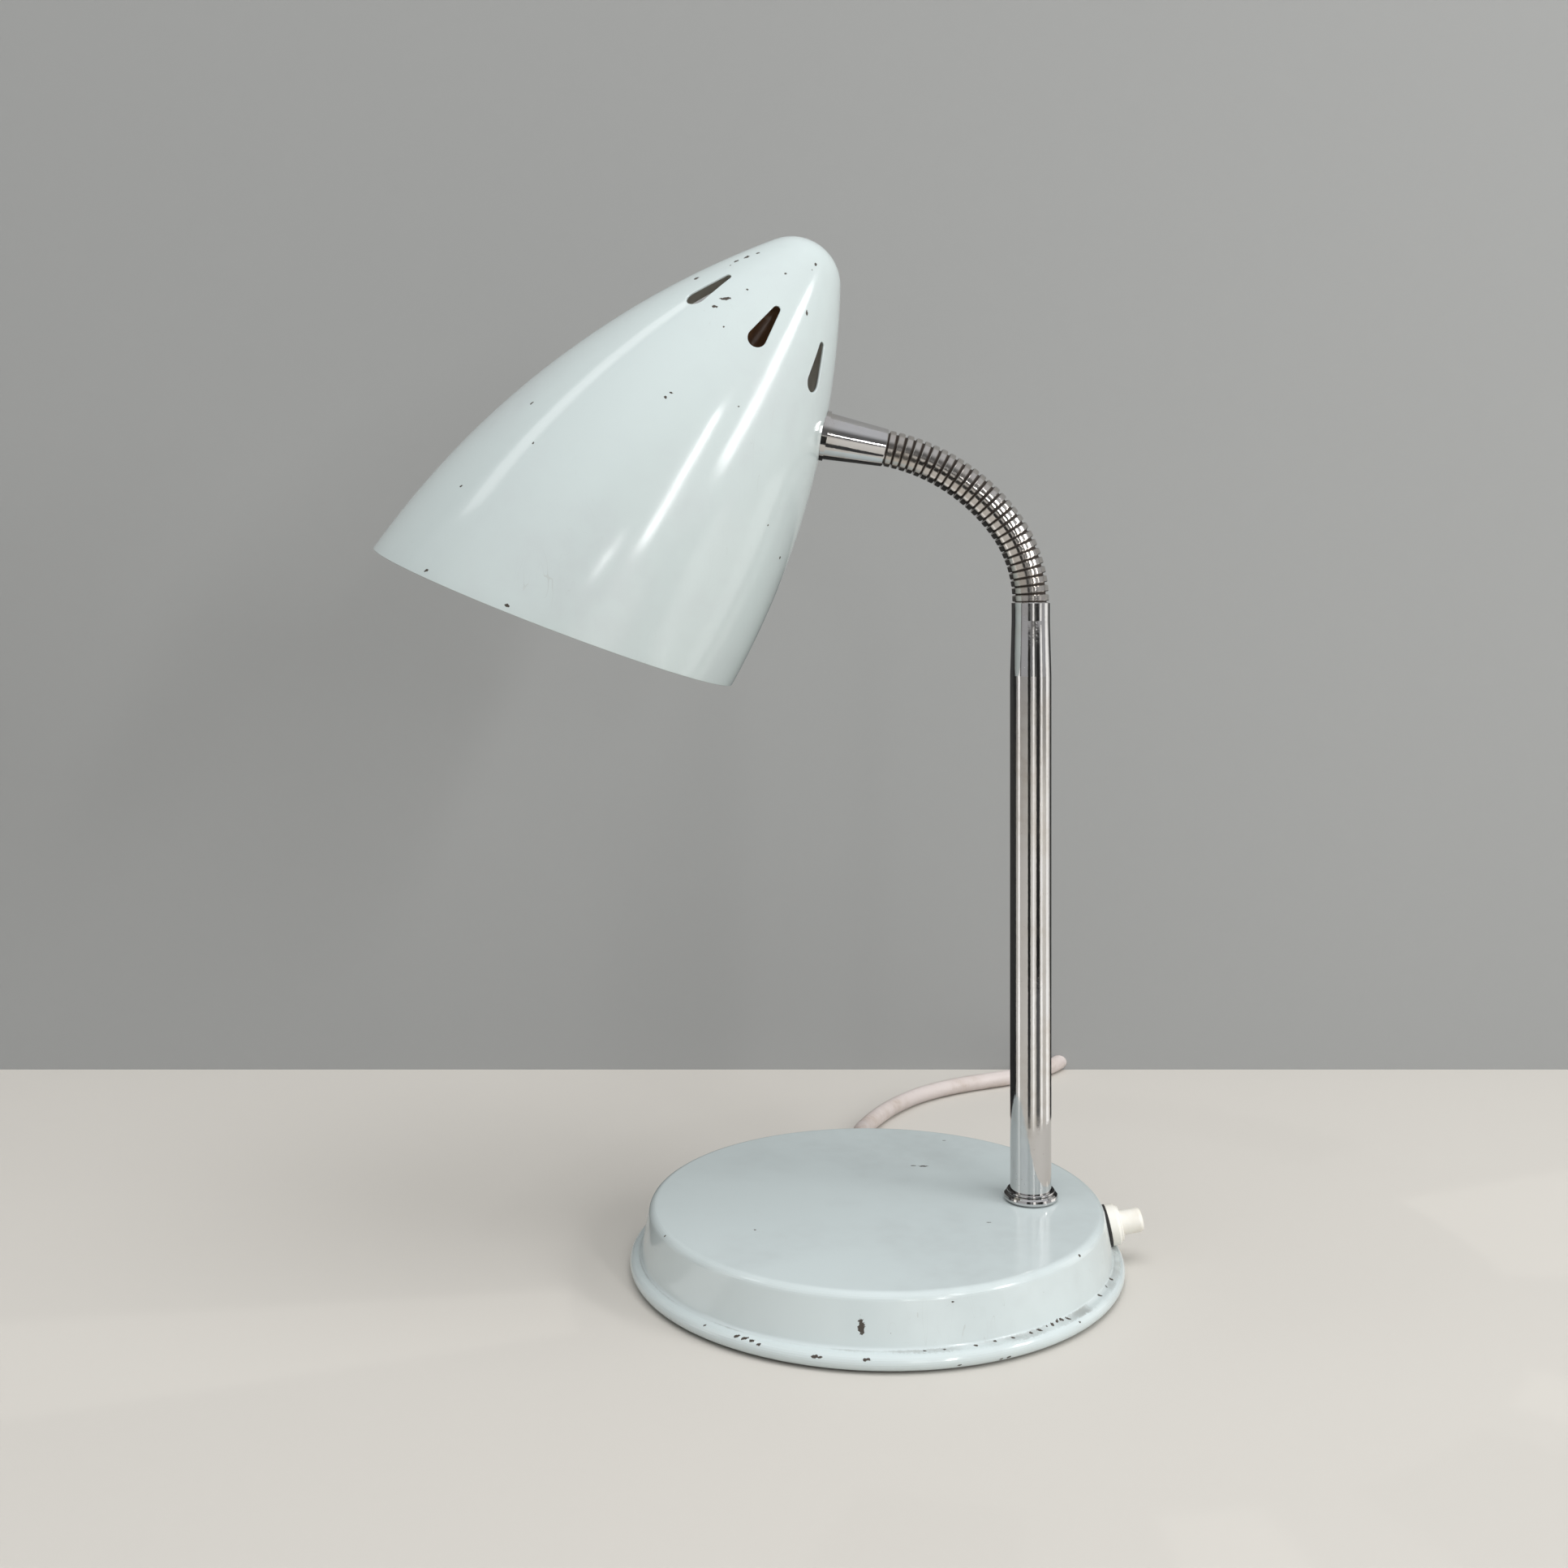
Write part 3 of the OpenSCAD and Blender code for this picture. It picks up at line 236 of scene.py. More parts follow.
# %% Plug
SLEEVE_LEN, SLEEVE_R, SLEEVE_STEPS = 16, 4.25, 32
FLARE_LEN, FLARE_STEPS = 20, 16
BLOCKY = 4.2  # squareness of the plug's body
plug_sections = []
for i in range(SLEEVE_STEPS + 1):
    t = i / SLEEVE_STEPS
    rib = ribbing(SLEEVE_LEN * t, 2.667, 0.35)
    plug_sections.append((SLEEVE_LEN * t, SLEEVE_R + 1.5 * t - rib, SLEEVE_R + 1.4 * t - rib, ROUND))
for i in range(1, FLARE_STEPS + 1):
    t = i / FLARE_STEPS
    ease = t * t * (3 - 2 * t)  # the width swells softly, the height at once
    plug_sections.append((SLEEVE_LEN + FLARE_LEN * t, 5.8 + 11.5 * ease, 5.7 + 1.1 * min(1, t * 3),
                          ROUND + (BLOCKY - ROUND) * t))
plug_sections += [(44, 17.4, 6.8, BLOCKY), (48.6, 17.4, 6.8, BLOCKY), (49.4, 17.1, 6.5, BLOCKY),
                  (49.85, 16.5, 5.9, BLOCKY), (50, 15.7, 5.2, BLOCKY)]
plug = loft("plug", Vector(TAIL[-1]), Vector((-1, 0, 0)), Vector((0, 1, 0)), plug_sections, sides=64)

# %% [markdown]
# ## Cord tie
# A black hook-and-loop strap holds the coil. It is a thin band bent round the turns, with its
# free end pressed down on top. A torus would be too thick at its edges, so the strap is made as
# a flat ribbon that follows a rounded loop.

# %% Outline and ribbon of the strap
TIE_R, TIE_WAY = 38.0, math.radians(225)  # where on the coil the strap is
TIE_HALF, TIE_TOP, TIE_ROUND = 11.025, 14.85, 2.4
TIE_W, TIE_T = 10, 0.8
FREE_HALF, FREE_LIFT, FREE_W, FREE_T = 7, 0.7, TIE_W - 0.6, 0.6  # the strap's free end
BAND = ((-.5, -.25), (-.5, .25), (-.47, .5), (.47, .5), (.5, .25), (.5, -.25), (.47, -.5), (-.47, -.5))


def rounded_loop(half, low, high, r, steps=8):
    """The outline of a rectangle with round corners."""
    corners = [(half - r, low + r, -90), (half - r, high - r, 0),
               (r - half, high - r, 90), (r - half, low + r, 180)]
    points = []
    for x, z, first in corners:
        for k in range(steps + 1):
            a = math.radians(first + 90 * k / steps)
            points.append((x + r * math.cos(a), z + r * math.sin(a)))
    return points


def ribbon(mesh, points, closed, thick, width):
    """A band along points of a plane, with its edges rounded off."""
    out = Vector((math.cos(TIE_WAY), math.sin(TIE_WAY), 0))
    side = Vector((-out.y, out.x, 0))
    middle = Vector((*COIL_CENTRE, 0)) + out * TIE_R
    rows = []
    n = len(points)
    for i, (x, z) in enumerate(points):
        a = points[(i - 1) % n] if closed or i else points[0]
        b = points[(i + 1) % n] if closed or i < n - 1 else points[-1]
        normal = Vector((b[1] - a[1], a[0] - b[0])).normalized()
        row = []
        for u, v in BAND:
            px, pz = x + normal.x * thick * v, z + normal.y * thick * v
            row.append(mesh.verts.new((middle + out * px + side * (width * u) + Vector((0, 0, pz))) * MM))
        rows.append(row)
    for a, b in zip(rows, rows[1:] + (rows[:1] if closed else [])):
        bridge(mesh, a, b)
    if not closed:
        mesh.faces.new(rows[0])
        mesh.faces.new(rows[-1])


# %% Cord tie
strap_mesh = bmesh.new()
ribbon(strap_mesh, rounded_loop(TIE_HALF, TIE_T / 2, TIE_TOP, TIE_ROUND), True, TIE_T, TIE_W)
free_end = [(-FREE_HALF + 2 * FREE_HALF * i / 12, TIE_TOP + FREE_LIFT) for i in range(13)]
ribbon(strap_mesh, free_end, False, FREE_T, FREE_W)
strap = add_mesh("cord_strap", strap_mesh)

# %% [markdown]
# ## Shade
# The shade is one spun sheet of steel: a small round nose, then one long curve to a mouth that
# is cut at a slant. Eight teardrop vents are punched round the nose. A boolean would leave
# long thin faces that shade badly on gloss paint, so every vertex is placed on the true curve,
# and each eighth of the shade has its own patch of quads round its vent.

# %% Shade outline
NOSE = Vector((-18.280, 0, 332.306))
AXIS = Vector((-0.57728, 0, -0.81655)).normalized()
TO_NECK = Vector((0.81655, 0, -0.57728)).normalized()
SIDEWAYS = Vector((0, 1, 0))
NOSE_R = 16
SIDE_R, SIDE_X, SIDE_S = 282.7, -221.7, 164.25  # the side's arc: radius and centre
NOSE_TURN = math.atan2(SIDE_S - NOSE_R, -SIDE_X)  # where the two arcs meet
WALL, LENGTH, SLANT = 0.8, 148.7, math.tan(math.radians(13.9))


def radius(s, depth):
    """Radius of the shade at a distance along its axis, at a depth under its outside."""
    if s < NOSE_R - (NOSE_R - depth) * math.sin(NOSE_TURN):
        return math.sqrt(max(0, (NOSE_R - depth) ** 2 - (s - NOSE_R) ** 2))
    return SIDE_X + math.sqrt((SIDE_R - depth) ** 2 - (s - SIDE_S) ** 2)


def on_shade(s, turn, depth):
    """A point of the shade's sheet, by station, angle round the axis and depth."""
    r = radius(s, depth)
    return (NOSE + AXIS * s + (TO_NECK * math.cos(turn) + SIDEWAYS * math.sin(turn)) * r) * MM


def mouth_station(turn, depth, back):
    """Where the slanted mouth cuts the sheet, moved back from the edge."""
    s = LENGTH
    for _ in range(12):  # each round brings it closer
        s = LENGTH - back - SLANT * radius(s, depth) * math.cos(turn)
    return s


print("widest radius in mm:", round(radius(SIDE_S, 0), 2))

# %% [markdown]
# The outline of a vent is two arcs joined by straight flanks, wide towards the mouth. A small
# step back from the edge on each face of the sheet rounds it, as paint rounds a punched edge.

# %% Vent outline
VENTS = 8
VENT_FROM, VENT_LEN, VENT_R, VENT_TIP_R = 27.3, 15.5, 3.0, 1.2
VENT_TURNS = [k * 2 * math.pi / VENTS + math.radians(6.5) for k in range(VENTS)]
HALF_TURN = math.pi / VENTS
PATCH_FROM, PATCH_TO = 22.5, 47.5  # stations of the patch round a vent
COLUMNS, ROWS = 16, 16


def vent_outline(grow):
    """Points round a vent as (across, station), from one side of its tip."""
    wide, tip = VENT_FROM + VENT_LEN - VENT_R, VENT_FROM + VENT_TIP_R
    lean = math.asin((VENT_R - VENT_TIP_R) / (wide - tip))
    tip_r, wide_r = VENT_TIP_R + grow, VENT_R + grow
    tip_left = (-tip_r * math.cos(lean), tip - tip_r * math.sin(lean))
    wide_left = (-wide_r * math.cos(lean), wide - wide_r * math.sin(lean))
    points = []
    for i in range(COLUMNS):
        a = -lean - (math.pi - 2 * lean) * i / COLUMNS
        points.append((tip_r * math.cos(a), tip + tip_r * math.sin(a)))
    for i in range(ROWS):
        points.append(tuple(p + (q - p) * i / ROWS for p, q in zip(tip_left, wide_left)))
    for i in range(COLUMNS):
        a = math.pi + lean - (math.pi + 2 * lean) * i / COLUMNS
        points.append((wide_r * math.cos(a), wide + wide_r * math.sin(a)))
    for i in range(ROWS):
        x, s = (p + (q - p) * i / ROWS for p, q in zip(wide_left, tip_left))
        points.append((-x, s))
    return points


print("points round a vent:", len(vent_outline(0)))


# %% Patch round a vent
def patch_frame():
    """Points round a vent's patch, as (angle, station), in step with its outline."""
    span = PATCH_TO - PATCH_FROM
    points = [(HALF_TURN - 2 * HALF_TURN * i / COLUMNS, PATCH_FROM) for i in range(COLUMNS)]
    points += [(-HALF_TURN, PATCH_FROM + span * i / ROWS) for i in range(ROWS)]
    points += [(-HALF_TURN + 2 * HALF_TURN * i / COLUMNS, PATCH_TO) for i in range(COLUMNS)]
    points += [(HALF_TURN, PATCH_TO - span * i / ROWS) for i in range(ROWS)]
    return points


print("points round a patch:", len(patch_frame()))

# %% [markdown]
# Each face of the sheet is built in eight slices. A slice has loops of quads that spread from
# the vent to the edges of its patch, rows below the patch down to the mouth, and rows above it
# up to the nose. The loops lie close together at the vent, so its rounded edge stays small.

# %% One face of the sheet
RINGS = [0, 0.03, 0.09, 0.19, 0.32, 0.47, 0.64, 0.82, 1]
SOFT = 0.17  # how far a rounded edge steps back
SKIRT_ROWS, NOSE_ROWS, NOSE_CROWDING = 30, 14, 1.6


def row_of(mesh, places, depth):
    """Vertices on the sheet at (station, turn) places."""
    return [mesh.verts.new(on_shade(s, turn, depth)) for s, turn in places]


def slice_turns(centre):
    """The angles of a slice's columns."""
    return [centre + HALF_TURN * (2 * i / COLUMNS - 1) for i in range(COLUMNS + 1)]


def skin(mesh, depth):
    """One face of the sheet. Returns the loops round its vents and round its mouth."""
    inner = [(math.asin(x / radius(s, depth)), s) for x, s in vent_outline(SOFT)]
    vent_loops, mouth = [], []
    for centre in VENT_TURNS:
        loops = [row_of(mesh, [(a[1] + (b[1] - a[1]) * f, centre + a[0] + (b[0] - a[0]) * f)
                               for a, b in zip(inner, patch_frame())], depth) for f in RINGS]
        for a, b in zip(loops, loops[1:]):
            bridge(mesh, a, b)
        vent_loops.append(loops[0])
        turns = slice_turns(centre)
        ends = [mouth_station(a, depth, SOFT) for a in turns]
        skirt = [row_of(mesh, [(PATCH_TO + (end - PATCH_TO) * (i / SKIRT_ROWS), a)
                               for a, end in zip(turns, ends)], depth) for i in range(SKIRT_ROWS + 1)]
        mouth += skirt[-1][:-1]
        stations = [depth + (PATCH_FROM - depth) * (i / NOSE_ROWS) ** NOSE_CROWDING
                    for i in range(1, NOSE_ROWS + 1)]
        cap = [row_of(mesh, [(s, a) for a in turns], depth) for s in stations]
        for rows in (skirt, cap):
            for a, b in zip(rows, rows[1:]):
                bridge(mesh, a, b, closed=False)
        tip = mesh.verts.new((NOSE + AXIS * depth) * MM)
        for a, b in zip(cap[0], cap[0][1:]):
            mesh.faces.new((tip, a, b))
    return vent_loops, mouth


print("rows from nose to mouth:", NOSE_ROWS + ROWS + SKIRT_ROWS)

# %% [markdown]
# The two faces of the sheet are then joined through the cut edges of the vents and the mouth.
# Giving one face a thickness with a modifier would be shorter, but the inside has another paint
# and the edges have to be round, so the steps between the faces are placed one by one. The
# modifier at the end lets large faces lead the shading, so the small ones leave no streaks.

# %% Shade mesh
shade_mesh = bmesh.new()
out_vents, out_mouth = skin(shade_mesh, 0)
outside = len(shade_mesh.faces)
in_vents, in_mouth = skin(shade_mesh, WALL)
inside = len(shade_mesh.faces)
edges = []
depths = (SOFT, WALL - SOFT)
for centre, outer, inner in zip(VENT_TURNS, out_vents, in_vents):
    between = [row_of(shade_mesh, [(s, centre + math.asin(x / radius(s, d))) for x, s in vent_outline(0)], d)
               for d in depths]
    edges.append([outer, *between, inner])
mouth_turns = [a for centre in VENT_TURNS for a in slice_turns(centre)[:-1]]
between = [row_of(shade_mesh, [(mouth_station(a, d, 0), a) for a in mouth_turns], d) for d in depths]
edges.append([out_mouth, *between, in_mouth])
for steps in edges:
    for a, b in zip(steps, steps[1:]):
        bridge(shade_mesh, a, b)
for i, face in enumerate(shade_mesh.faces):
    face.material_index = 1 if outside <= i < inside else 0
bmesh.ops.remove_doubles(shade_mesh, verts=shade_mesh.verts, dist=0.005 * MM)
shade = add_mesh("shade_sheet", shade_mesh)
shade.modifiers.new("even", "WEIGHTED_NORMAL")


# %% [markdown]
# ## Materials
# Old lamps look real through small faults: gloss paint that isn't quite flat, dull patches where
# hands have been, chips down to dark steel, pits in the chrome. Pictures could hold them, but
# every piece would have to be laid out flat first, and textures worked out from the place on
# the piece need no layout. Each effect is a node group, built once, that puts out a mask or a
# height, and the material decides what it does.

# %% Helpers for nodes
def linear(c):
    """One channel of a colour picker, 0 to 255, as the linear value that Blender wants."""
    return c / 255 / 12.92 if c <= 10 else ((c / 255 + 0.055) / 1.055) ** 2.4


def paint(r, g, b):
    """An opaque colour, by its numbers in a colour picker."""
    return (linear(r), linear(g), linear(b), 1)


def fill(tree, node, inputs):
    """Links each input to a socket, or sets it to a value."""
    for name, value in inputs.items():
        if isinstance(value, bpy.types.NodeSocket):
            tree.links.new(value, node.inputs[name])
        else:
            node.inputs[name].default_value = value


def place(tree, kind, inputs, **settings):
    """Adds a node, sets it up and fills its inputs."""
    node = tree.nodes.new(kind)
    for name, value in settings.items():
        setattr(node, name, value)
    fill(tree, node, inputs)
    return node


print("mid grey:", round(linear(128), 3))


# %% Helpers for sums and mixes
def maths(tree, operation, a, b=0.0):
    """A Math node's result."""
    return place(tree, "ShaderNodeMath", {0: a, 1: b}, operation=operation).outputs[0]


def times(tree, a, b):
    """Two numbers multiplied."""
    return maths(tree, "MULTIPLY", a, b)


def minus(tree, a, b):
    """One number less another."""
    return maths(tree, "SUBTRACT", a, b)


def vectors(tree, operation, inputs, result="Vector"):
    """A Vector Math node's result."""
    return place(tree, "ShaderNodeVectorMath", inputs, operation=operation).outputs[result]


def noise(tree, where, scale, detail, **more):
    """A noise texture's value, 0.5 on average."""
    inputs = {"Vector": where, "Scale": scale, "Detail": detail, **more}
    return place(tree, "ShaderNodeTexNoise", inputs).outputs[0]


def blend(tree, factor, a, b):
    """Two colours mixed by a mask."""
    return place(tree, "ShaderNodeMix", {0: factor, 6: a, 7: b}, data_type="RGBA").outputs[2]


def level(tree, factor, a, b):
    """Two numbers mixed by a mask."""
    return place(tree, "ShaderNodeMix", {0: factor, 2: a, 3: b}, data_type="FLOAT").outputs[0]


def ramp(tree, value, low, high, to_low=0.0, to_high=1.0):
    """A value spread softly from one span to another."""
    inputs = {"Value": value, "From Min": low, "From Max": high, "To Min": to_low, "To Max": to_high}
    return place(tree, "ShaderNodeMapRange", inputs, interpolation_type="SMOOTHSTEP").outputs[0]


# %% Helper for node groups
NUMBER, POINT = "NodeSocketFloat", "NodeSocketVector"


def new_group(name, output, **inputs):
    """A node group that takes a place and the given inputs, with their usual values."""
    tree = bpy.data.node_groups.new(name, "ShaderNodeTree")
    for label, value in {"Place": (0.0, 0.0, 0.0), **inputs}.items():
        kind = POINT if isinstance(value, tuple) else NUMBER
        tree.interface.new_socket(label, in_out="INPUT", socket_type=kind).default_value = value
    tree.interface.new_socket(output, in_out="OUTPUT", socket_type=NUMBER)
    return tree, tree.nodes.new("NodeGroupInput").outputs, tree.nodes.new("NodeGroupOutput").inputs[0]


# %% [markdown]
# A chip is a small patch with a ragged edge: the distance from its middle, disturbed by noise.
# Most are longer than wide, so the distance is measured in squeezed space. One group makes one
# chip, and a material places as many as the lamp has.

# %% Chip group
CHIP_SQUEEZE = 0.62  # how far its length is squeezed
chip, given, mask = new_group("chip", "Mask", Centre=(0.0, 0.0, 0.0), Along=(1.0, 0.0, 0.0),
                              Size=0.001, Ragged=0.6)
offset = vectors(chip, "SUBTRACT", {0: given["Place"], 1: given["Centre"]})
lengthwise = vectors(chip, "DOT_PRODUCT", {0: offset, 1: given["Along"]}, "Value")
shrink = times(chip, lengthwise, -CHIP_SQUEEZE)
shorter = vectors(chip, "SCALE", {0: given["Along"], "Scale": shrink})
far = vectors(chip, "LENGTH", {0: vectors(chip, "ADD", {0: offset, 1: shorter})}, "Value")
rough_edge = noise(chip, given["Place"], 1100.0, 4.0, Roughness=0.7)
raggedness = times(chip, given["Ragged"], 4.0)
edge = times(chip, minus(chip, rough_edge, 0.5), raggedness)
reach = maths(chip, "ADD", maths(chip, "DIVIDE", far, given["Size"]), edge)
chip.links.new(ramp(chip, reach, 0.92, 1.04, 1.0, 0.0), mask)
print("nodes:", len(chip.nodes))

# %% [markdown]
# Specks are tiny scattered spots: pits in chrome, dust and pinholes in paint. A cell texture
# gives a point in each cell, and a coarse noise lets only some areas have them.

# %% Speck group
specks, given, mask = new_group("specks", "Mask", Scale=600.0, Size=0.16, Amount=0.3)
cells = place(specks, "ShaderNodeTexVoronoi", {"Vector": given["Place"], "Scale": given["Scale"]}).outputs
patchy = times(specks, noise(specks, given["Place"], 45.0, 2.0), 2.0)
pick = place(specks, "ShaderNodeSeparateColor", {0: cells["Color"]}).outputs[0]
chosen = maths(specks, "LESS_THAN", pick, times(specks, given["Amount"], patchy))
spot_r = times(specks, given["Size"], maths(specks, "ADD", 0.4, pick))
spot = maths(specks, "LESS_THAN", cells["Distance"], spot_r)
specks.links.new(times(specks, spot, chosen), mask)
print("nodes:", len(specks.nodes))

# %% [markdown]
# Fine scratches run in loosely the same direction. A noise that is squeezed far more one way
# than the other has long thin contours, and a thin slice of its values draws them.

# %% Scratch group
scratches, given, mask = new_group("scratches", "Mask", Stretch=(900.0, 60.0, 900.0), Width=0.006)
squeezed = vectors(scratches, "MULTIPLY", {0: given["Place"], 1: given["Stretch"]})
contour = minus(scratches, noise(scratches, squeezed, 1.0, 0.0), 0.5)
thin = maths(scratches, "LESS_THAN", maths(scratches, "ABSOLUTE", contour), given["Width"])
some = ramp(scratches, noise(scratches, given["Place"], 38.0, 1.0), 0.52, 0.62)
scratches.links.new(times(scratches, thin, some), mask)
print("nodes:", len(scratches.nodes))

# %% [markdown]
# Handling leaves a surface unevenly glossy. One noise alone would look like fog, so a finer one
# breaks its broad clouds into streaks.

# %% Smudge group
smudges, given, mask = new_group("smudges", "Mask", Scale=30.0)
broad = noise(smudges, given["Place"], given["Scale"], 4.0, Roughness=0.6)
fine = noise(smudges, given["Place"], times(smudges, given["Scale"], 9.0), 3.0)
streaks = ramp(smudges, fine, 0.3, 0.7, 0.5, 1.0)
smudges.links.new(times(smudges, ramp(smudges, broad, 0.42, 0.68), streaks), mask)
print("nodes:", len(smudges.nodes))

# %% [markdown]
# Nothing sprayed, cast or moulded is quite flat. This group gives the height of a soft ripple
# with a finer one on it, from the orange peel of gloss paint to the grain of a casting.

# %% Uneven group
uneven, given, height_out = new_group("uneven", "Height", Scale=260.0, Fine=0.25)
wave = noise(uneven, given["Place"], given["Scale"], 1.0)
grain = noise(uneven, given["Place"], times(uneven, given["Scale"], 5.0), 2.0)
uneven.links.new(maths(uneven, "ADD", wave, times(uneven, grain, given["Fine"])), height_out)
print("node groups:", len(bpy.data.node_groups))

# %% [markdown]
# Every material starts in the same way. All textures are laid by the place on the piece in the
# lamp's own frame, so they run on from one piece to the next and stay on a piece that moves.

# %% Start of a material
FAINT = 0.03 * MM  # height of a bump that only gloss shows
finishes = {}


def start(name):
    """A new material among the finishes. Gives its node tree and its main shader."""
    finishes[name] = bpy.data.materials.new(name)
    finishes[name].use_nodes = True
    tree = finishes[name].node_tree
    return tree, tree.nodes["Principled BSDF"]


def where_on(tree):
    """The place on the piece, in metres."""
    return tree.nodes.new("ShaderNodeTexCoord").outputs["Object"]


def use(tree, group, **inputs):
    """Places a node group in a material and gives its output."""
    return place(tree, "ShaderNodeGroup", inputs, node_tree=group).outputs[0]


def bump(tree, shader, height, distance, strength):
    """Lets a height disturb the surface's normal."""
    node = place(tree, "ShaderNodeBump", {"Height": height, "Distance": distance, "Strength": strength})
    tree.links.new(node.outputs[0], shader.inputs["Normal"])


# %% [markdown]
# ## Enamel
# The shade and base are sprayed in a pale grey-green gloss. The paint has a faint ripple, dull
# clouds from handling, pinholes, and chips down to dark steel where the lamp was knocked. Each
# chip is placed one by one, because wear gathers at edges and near the nose, not everywhere.

# %% Enamel
# The last of these tones darkens the paint in a line in the base's hollow.
BARE_STEEL, SCUFF, HOLLOW_DARK = paint(70, 63, 56), paint(166, 166, 160), paint(104, 100, 92)
ALONG = {"a": (-0.577, 0.0, -0.817), "x": (1.0, 0.0, 0.0), "z": (0.0, 0.0, 1.0),
         "d": (0.78, 0.42, -0.46), "n": (0.0, 0.0, 0.0)}  # a: the shade's axis, d: slanted, n: round


def enamel(name, colour, dull_colour, chips, pinholes, hollow_line=None):
    """Gloss paint with chips: x, y, z and size in millimetres, and the way each one lies."""
    tree, shader = start(name)
    where = where_on(tree)
    worn = use(tree, specks, Place=where, Scale=240.0, Size=0.05, Amount=pinholes)
    for x, y, z, size, way in chips:
        spot = use(tree, chip, Place=where, Centre=(x * MM, y * MM, z * MM), Along=ALONG[way],
                   Size=size * MM, Ragged=0.7)
        worn = maths(tree, "MAXIMUM", worn, spot)
    dull = use(tree, smudges, Place=where, Scale=17.0)
    lines = use(tree, scratches, Place=where, Stretch=(420.0, 420.0, 36.0), Width=0.0018)
    tone = blend(tree, dull, paint(*colour), paint(*dull_colour))
    tone = blend(tree, times(tree, lines, 0.25), tone, SCUFF)
    rough = level(tree, dull, 0.12, 0.2)
    # This darkens and dulls the paint in a line in the base's hollow.
    if hollow_line:
        soiled = hollow_line(tree, where)
        tone = blend(tree, soiled, tone, HOLLOW_DARK)
        rough = level(tree, soiled, rough, 0.55)
    fill(tree, shader, {"Base Color": blend(tree, worn, tone, BARE_STEEL),
                        "Roughness": level(tree, worn, rough, 0.62), "IOR": 1.52})
    ripple = use(tree, uneven, Place=where, Scale=120.0, Fine=0.06)
    bump(tree, shader, minus(tree, ripple, times(tree, worn, 2.2)), FAINT, 0.6)


# %% [markdown]
# The paint is darkened and dulled in a line in the hollow between the base's side wall and its
# bead. A drawn ring would be too even, so the mask's width and strength both follow a noise,
# and it widens towards the switch.

# %% Dark line in the base's hollow
HOLLOW_Z, LINE_REACH, LINE_EDGE = 5.6 * MM, 1.3 * MM, 0.35 * MM


def hollow_dark_line(tree, where):
    """A mask for a broken dark line at the hollow's height, wider towards the switch."""
    axes = place(tree, "ShaderNodeSeparateXYZ", {0: where}).outputs
    off = maths(tree, "ABSOLUTE", minus(tree, axes[2], HOLLOW_Z))
    ragged = times(tree, noise(tree, where, 900.0, 4.0, Roughness=0.8), LINE_REACH)
    reach = times(tree, ramp(tree, axes[0], -0.03, 0.06, 0.3, 1.0), ragged)
    line = ramp(tree, minus(tree, reach, off), 0.0, LINE_EDGE)
    strength = ramp(tree, noise(tree, where, 55.0, 2.0), 0.42, 0.66, 0.08, 0.6)
    return times(tree, line, strength)


# %% [markdown]
# The chips follow those seen on the lamp: a cluster near the nose, where the shade is gripped,
# a long one on the front of the base, and a row along the hollow on the switch's side. Few are
# guessed on the sides that can't be seen.

# %% Places of the chips
shade_chips = [
    (-57.9, -15.4, 319.0, 0.8, "z"), (-48.2, -27.2, 310.6, 0.62, "x"), (-51.1, -28.8, 307.6, 0.6, "d"),
    (-45.3, -13.9, 324.7, 0.5, "a"), (-41.8, -13.3, 326.2, 0.6, "a"), (-38.3, -12.8, 327.5, 0.45, "d"),
    (-65.6, -44.7, 278.1, 0.45, "n"), (-64.0, -44.1, 279.4, 0.35, "d"), (-105.4, -44.7, 264.2, 0.4, "d"),
    (-128.0, -40.1, 251.5, 0.4, "x"), (-107.7, -32.7, 277.4, 0.35, "a"), (-110.8, -60.0, 215.6, 0.45, "d"),
    (-136.6, -49.6, 225.9, 0.45, "x"), (-31.3, -17.1, 230.2, 0.45, "d"), (-35.0, -29.9, 240.0, 0.3, "x"),
    (-19.9, -13.3, 323.8, 0.5, "n"), (-22.8, -20.6, 307.3, 0.4, "z"), (-41.4, -24.9, 313.7, 0.4, "n"),
    (-29.5, -19.3, 319.8, 0.35, "n"), (-48.5, -33.0, 300.9, 0.3, "n"), (-43.8, -39.7, 275.7, 0.35, "n"),
    (-21.2, -14.6, 321.6, 0.45, "n"), (-46.9, -15.2, 323.0, 0.35, "d"), (-24.9, -20.4, 308.6, 0.3, "x"),
]
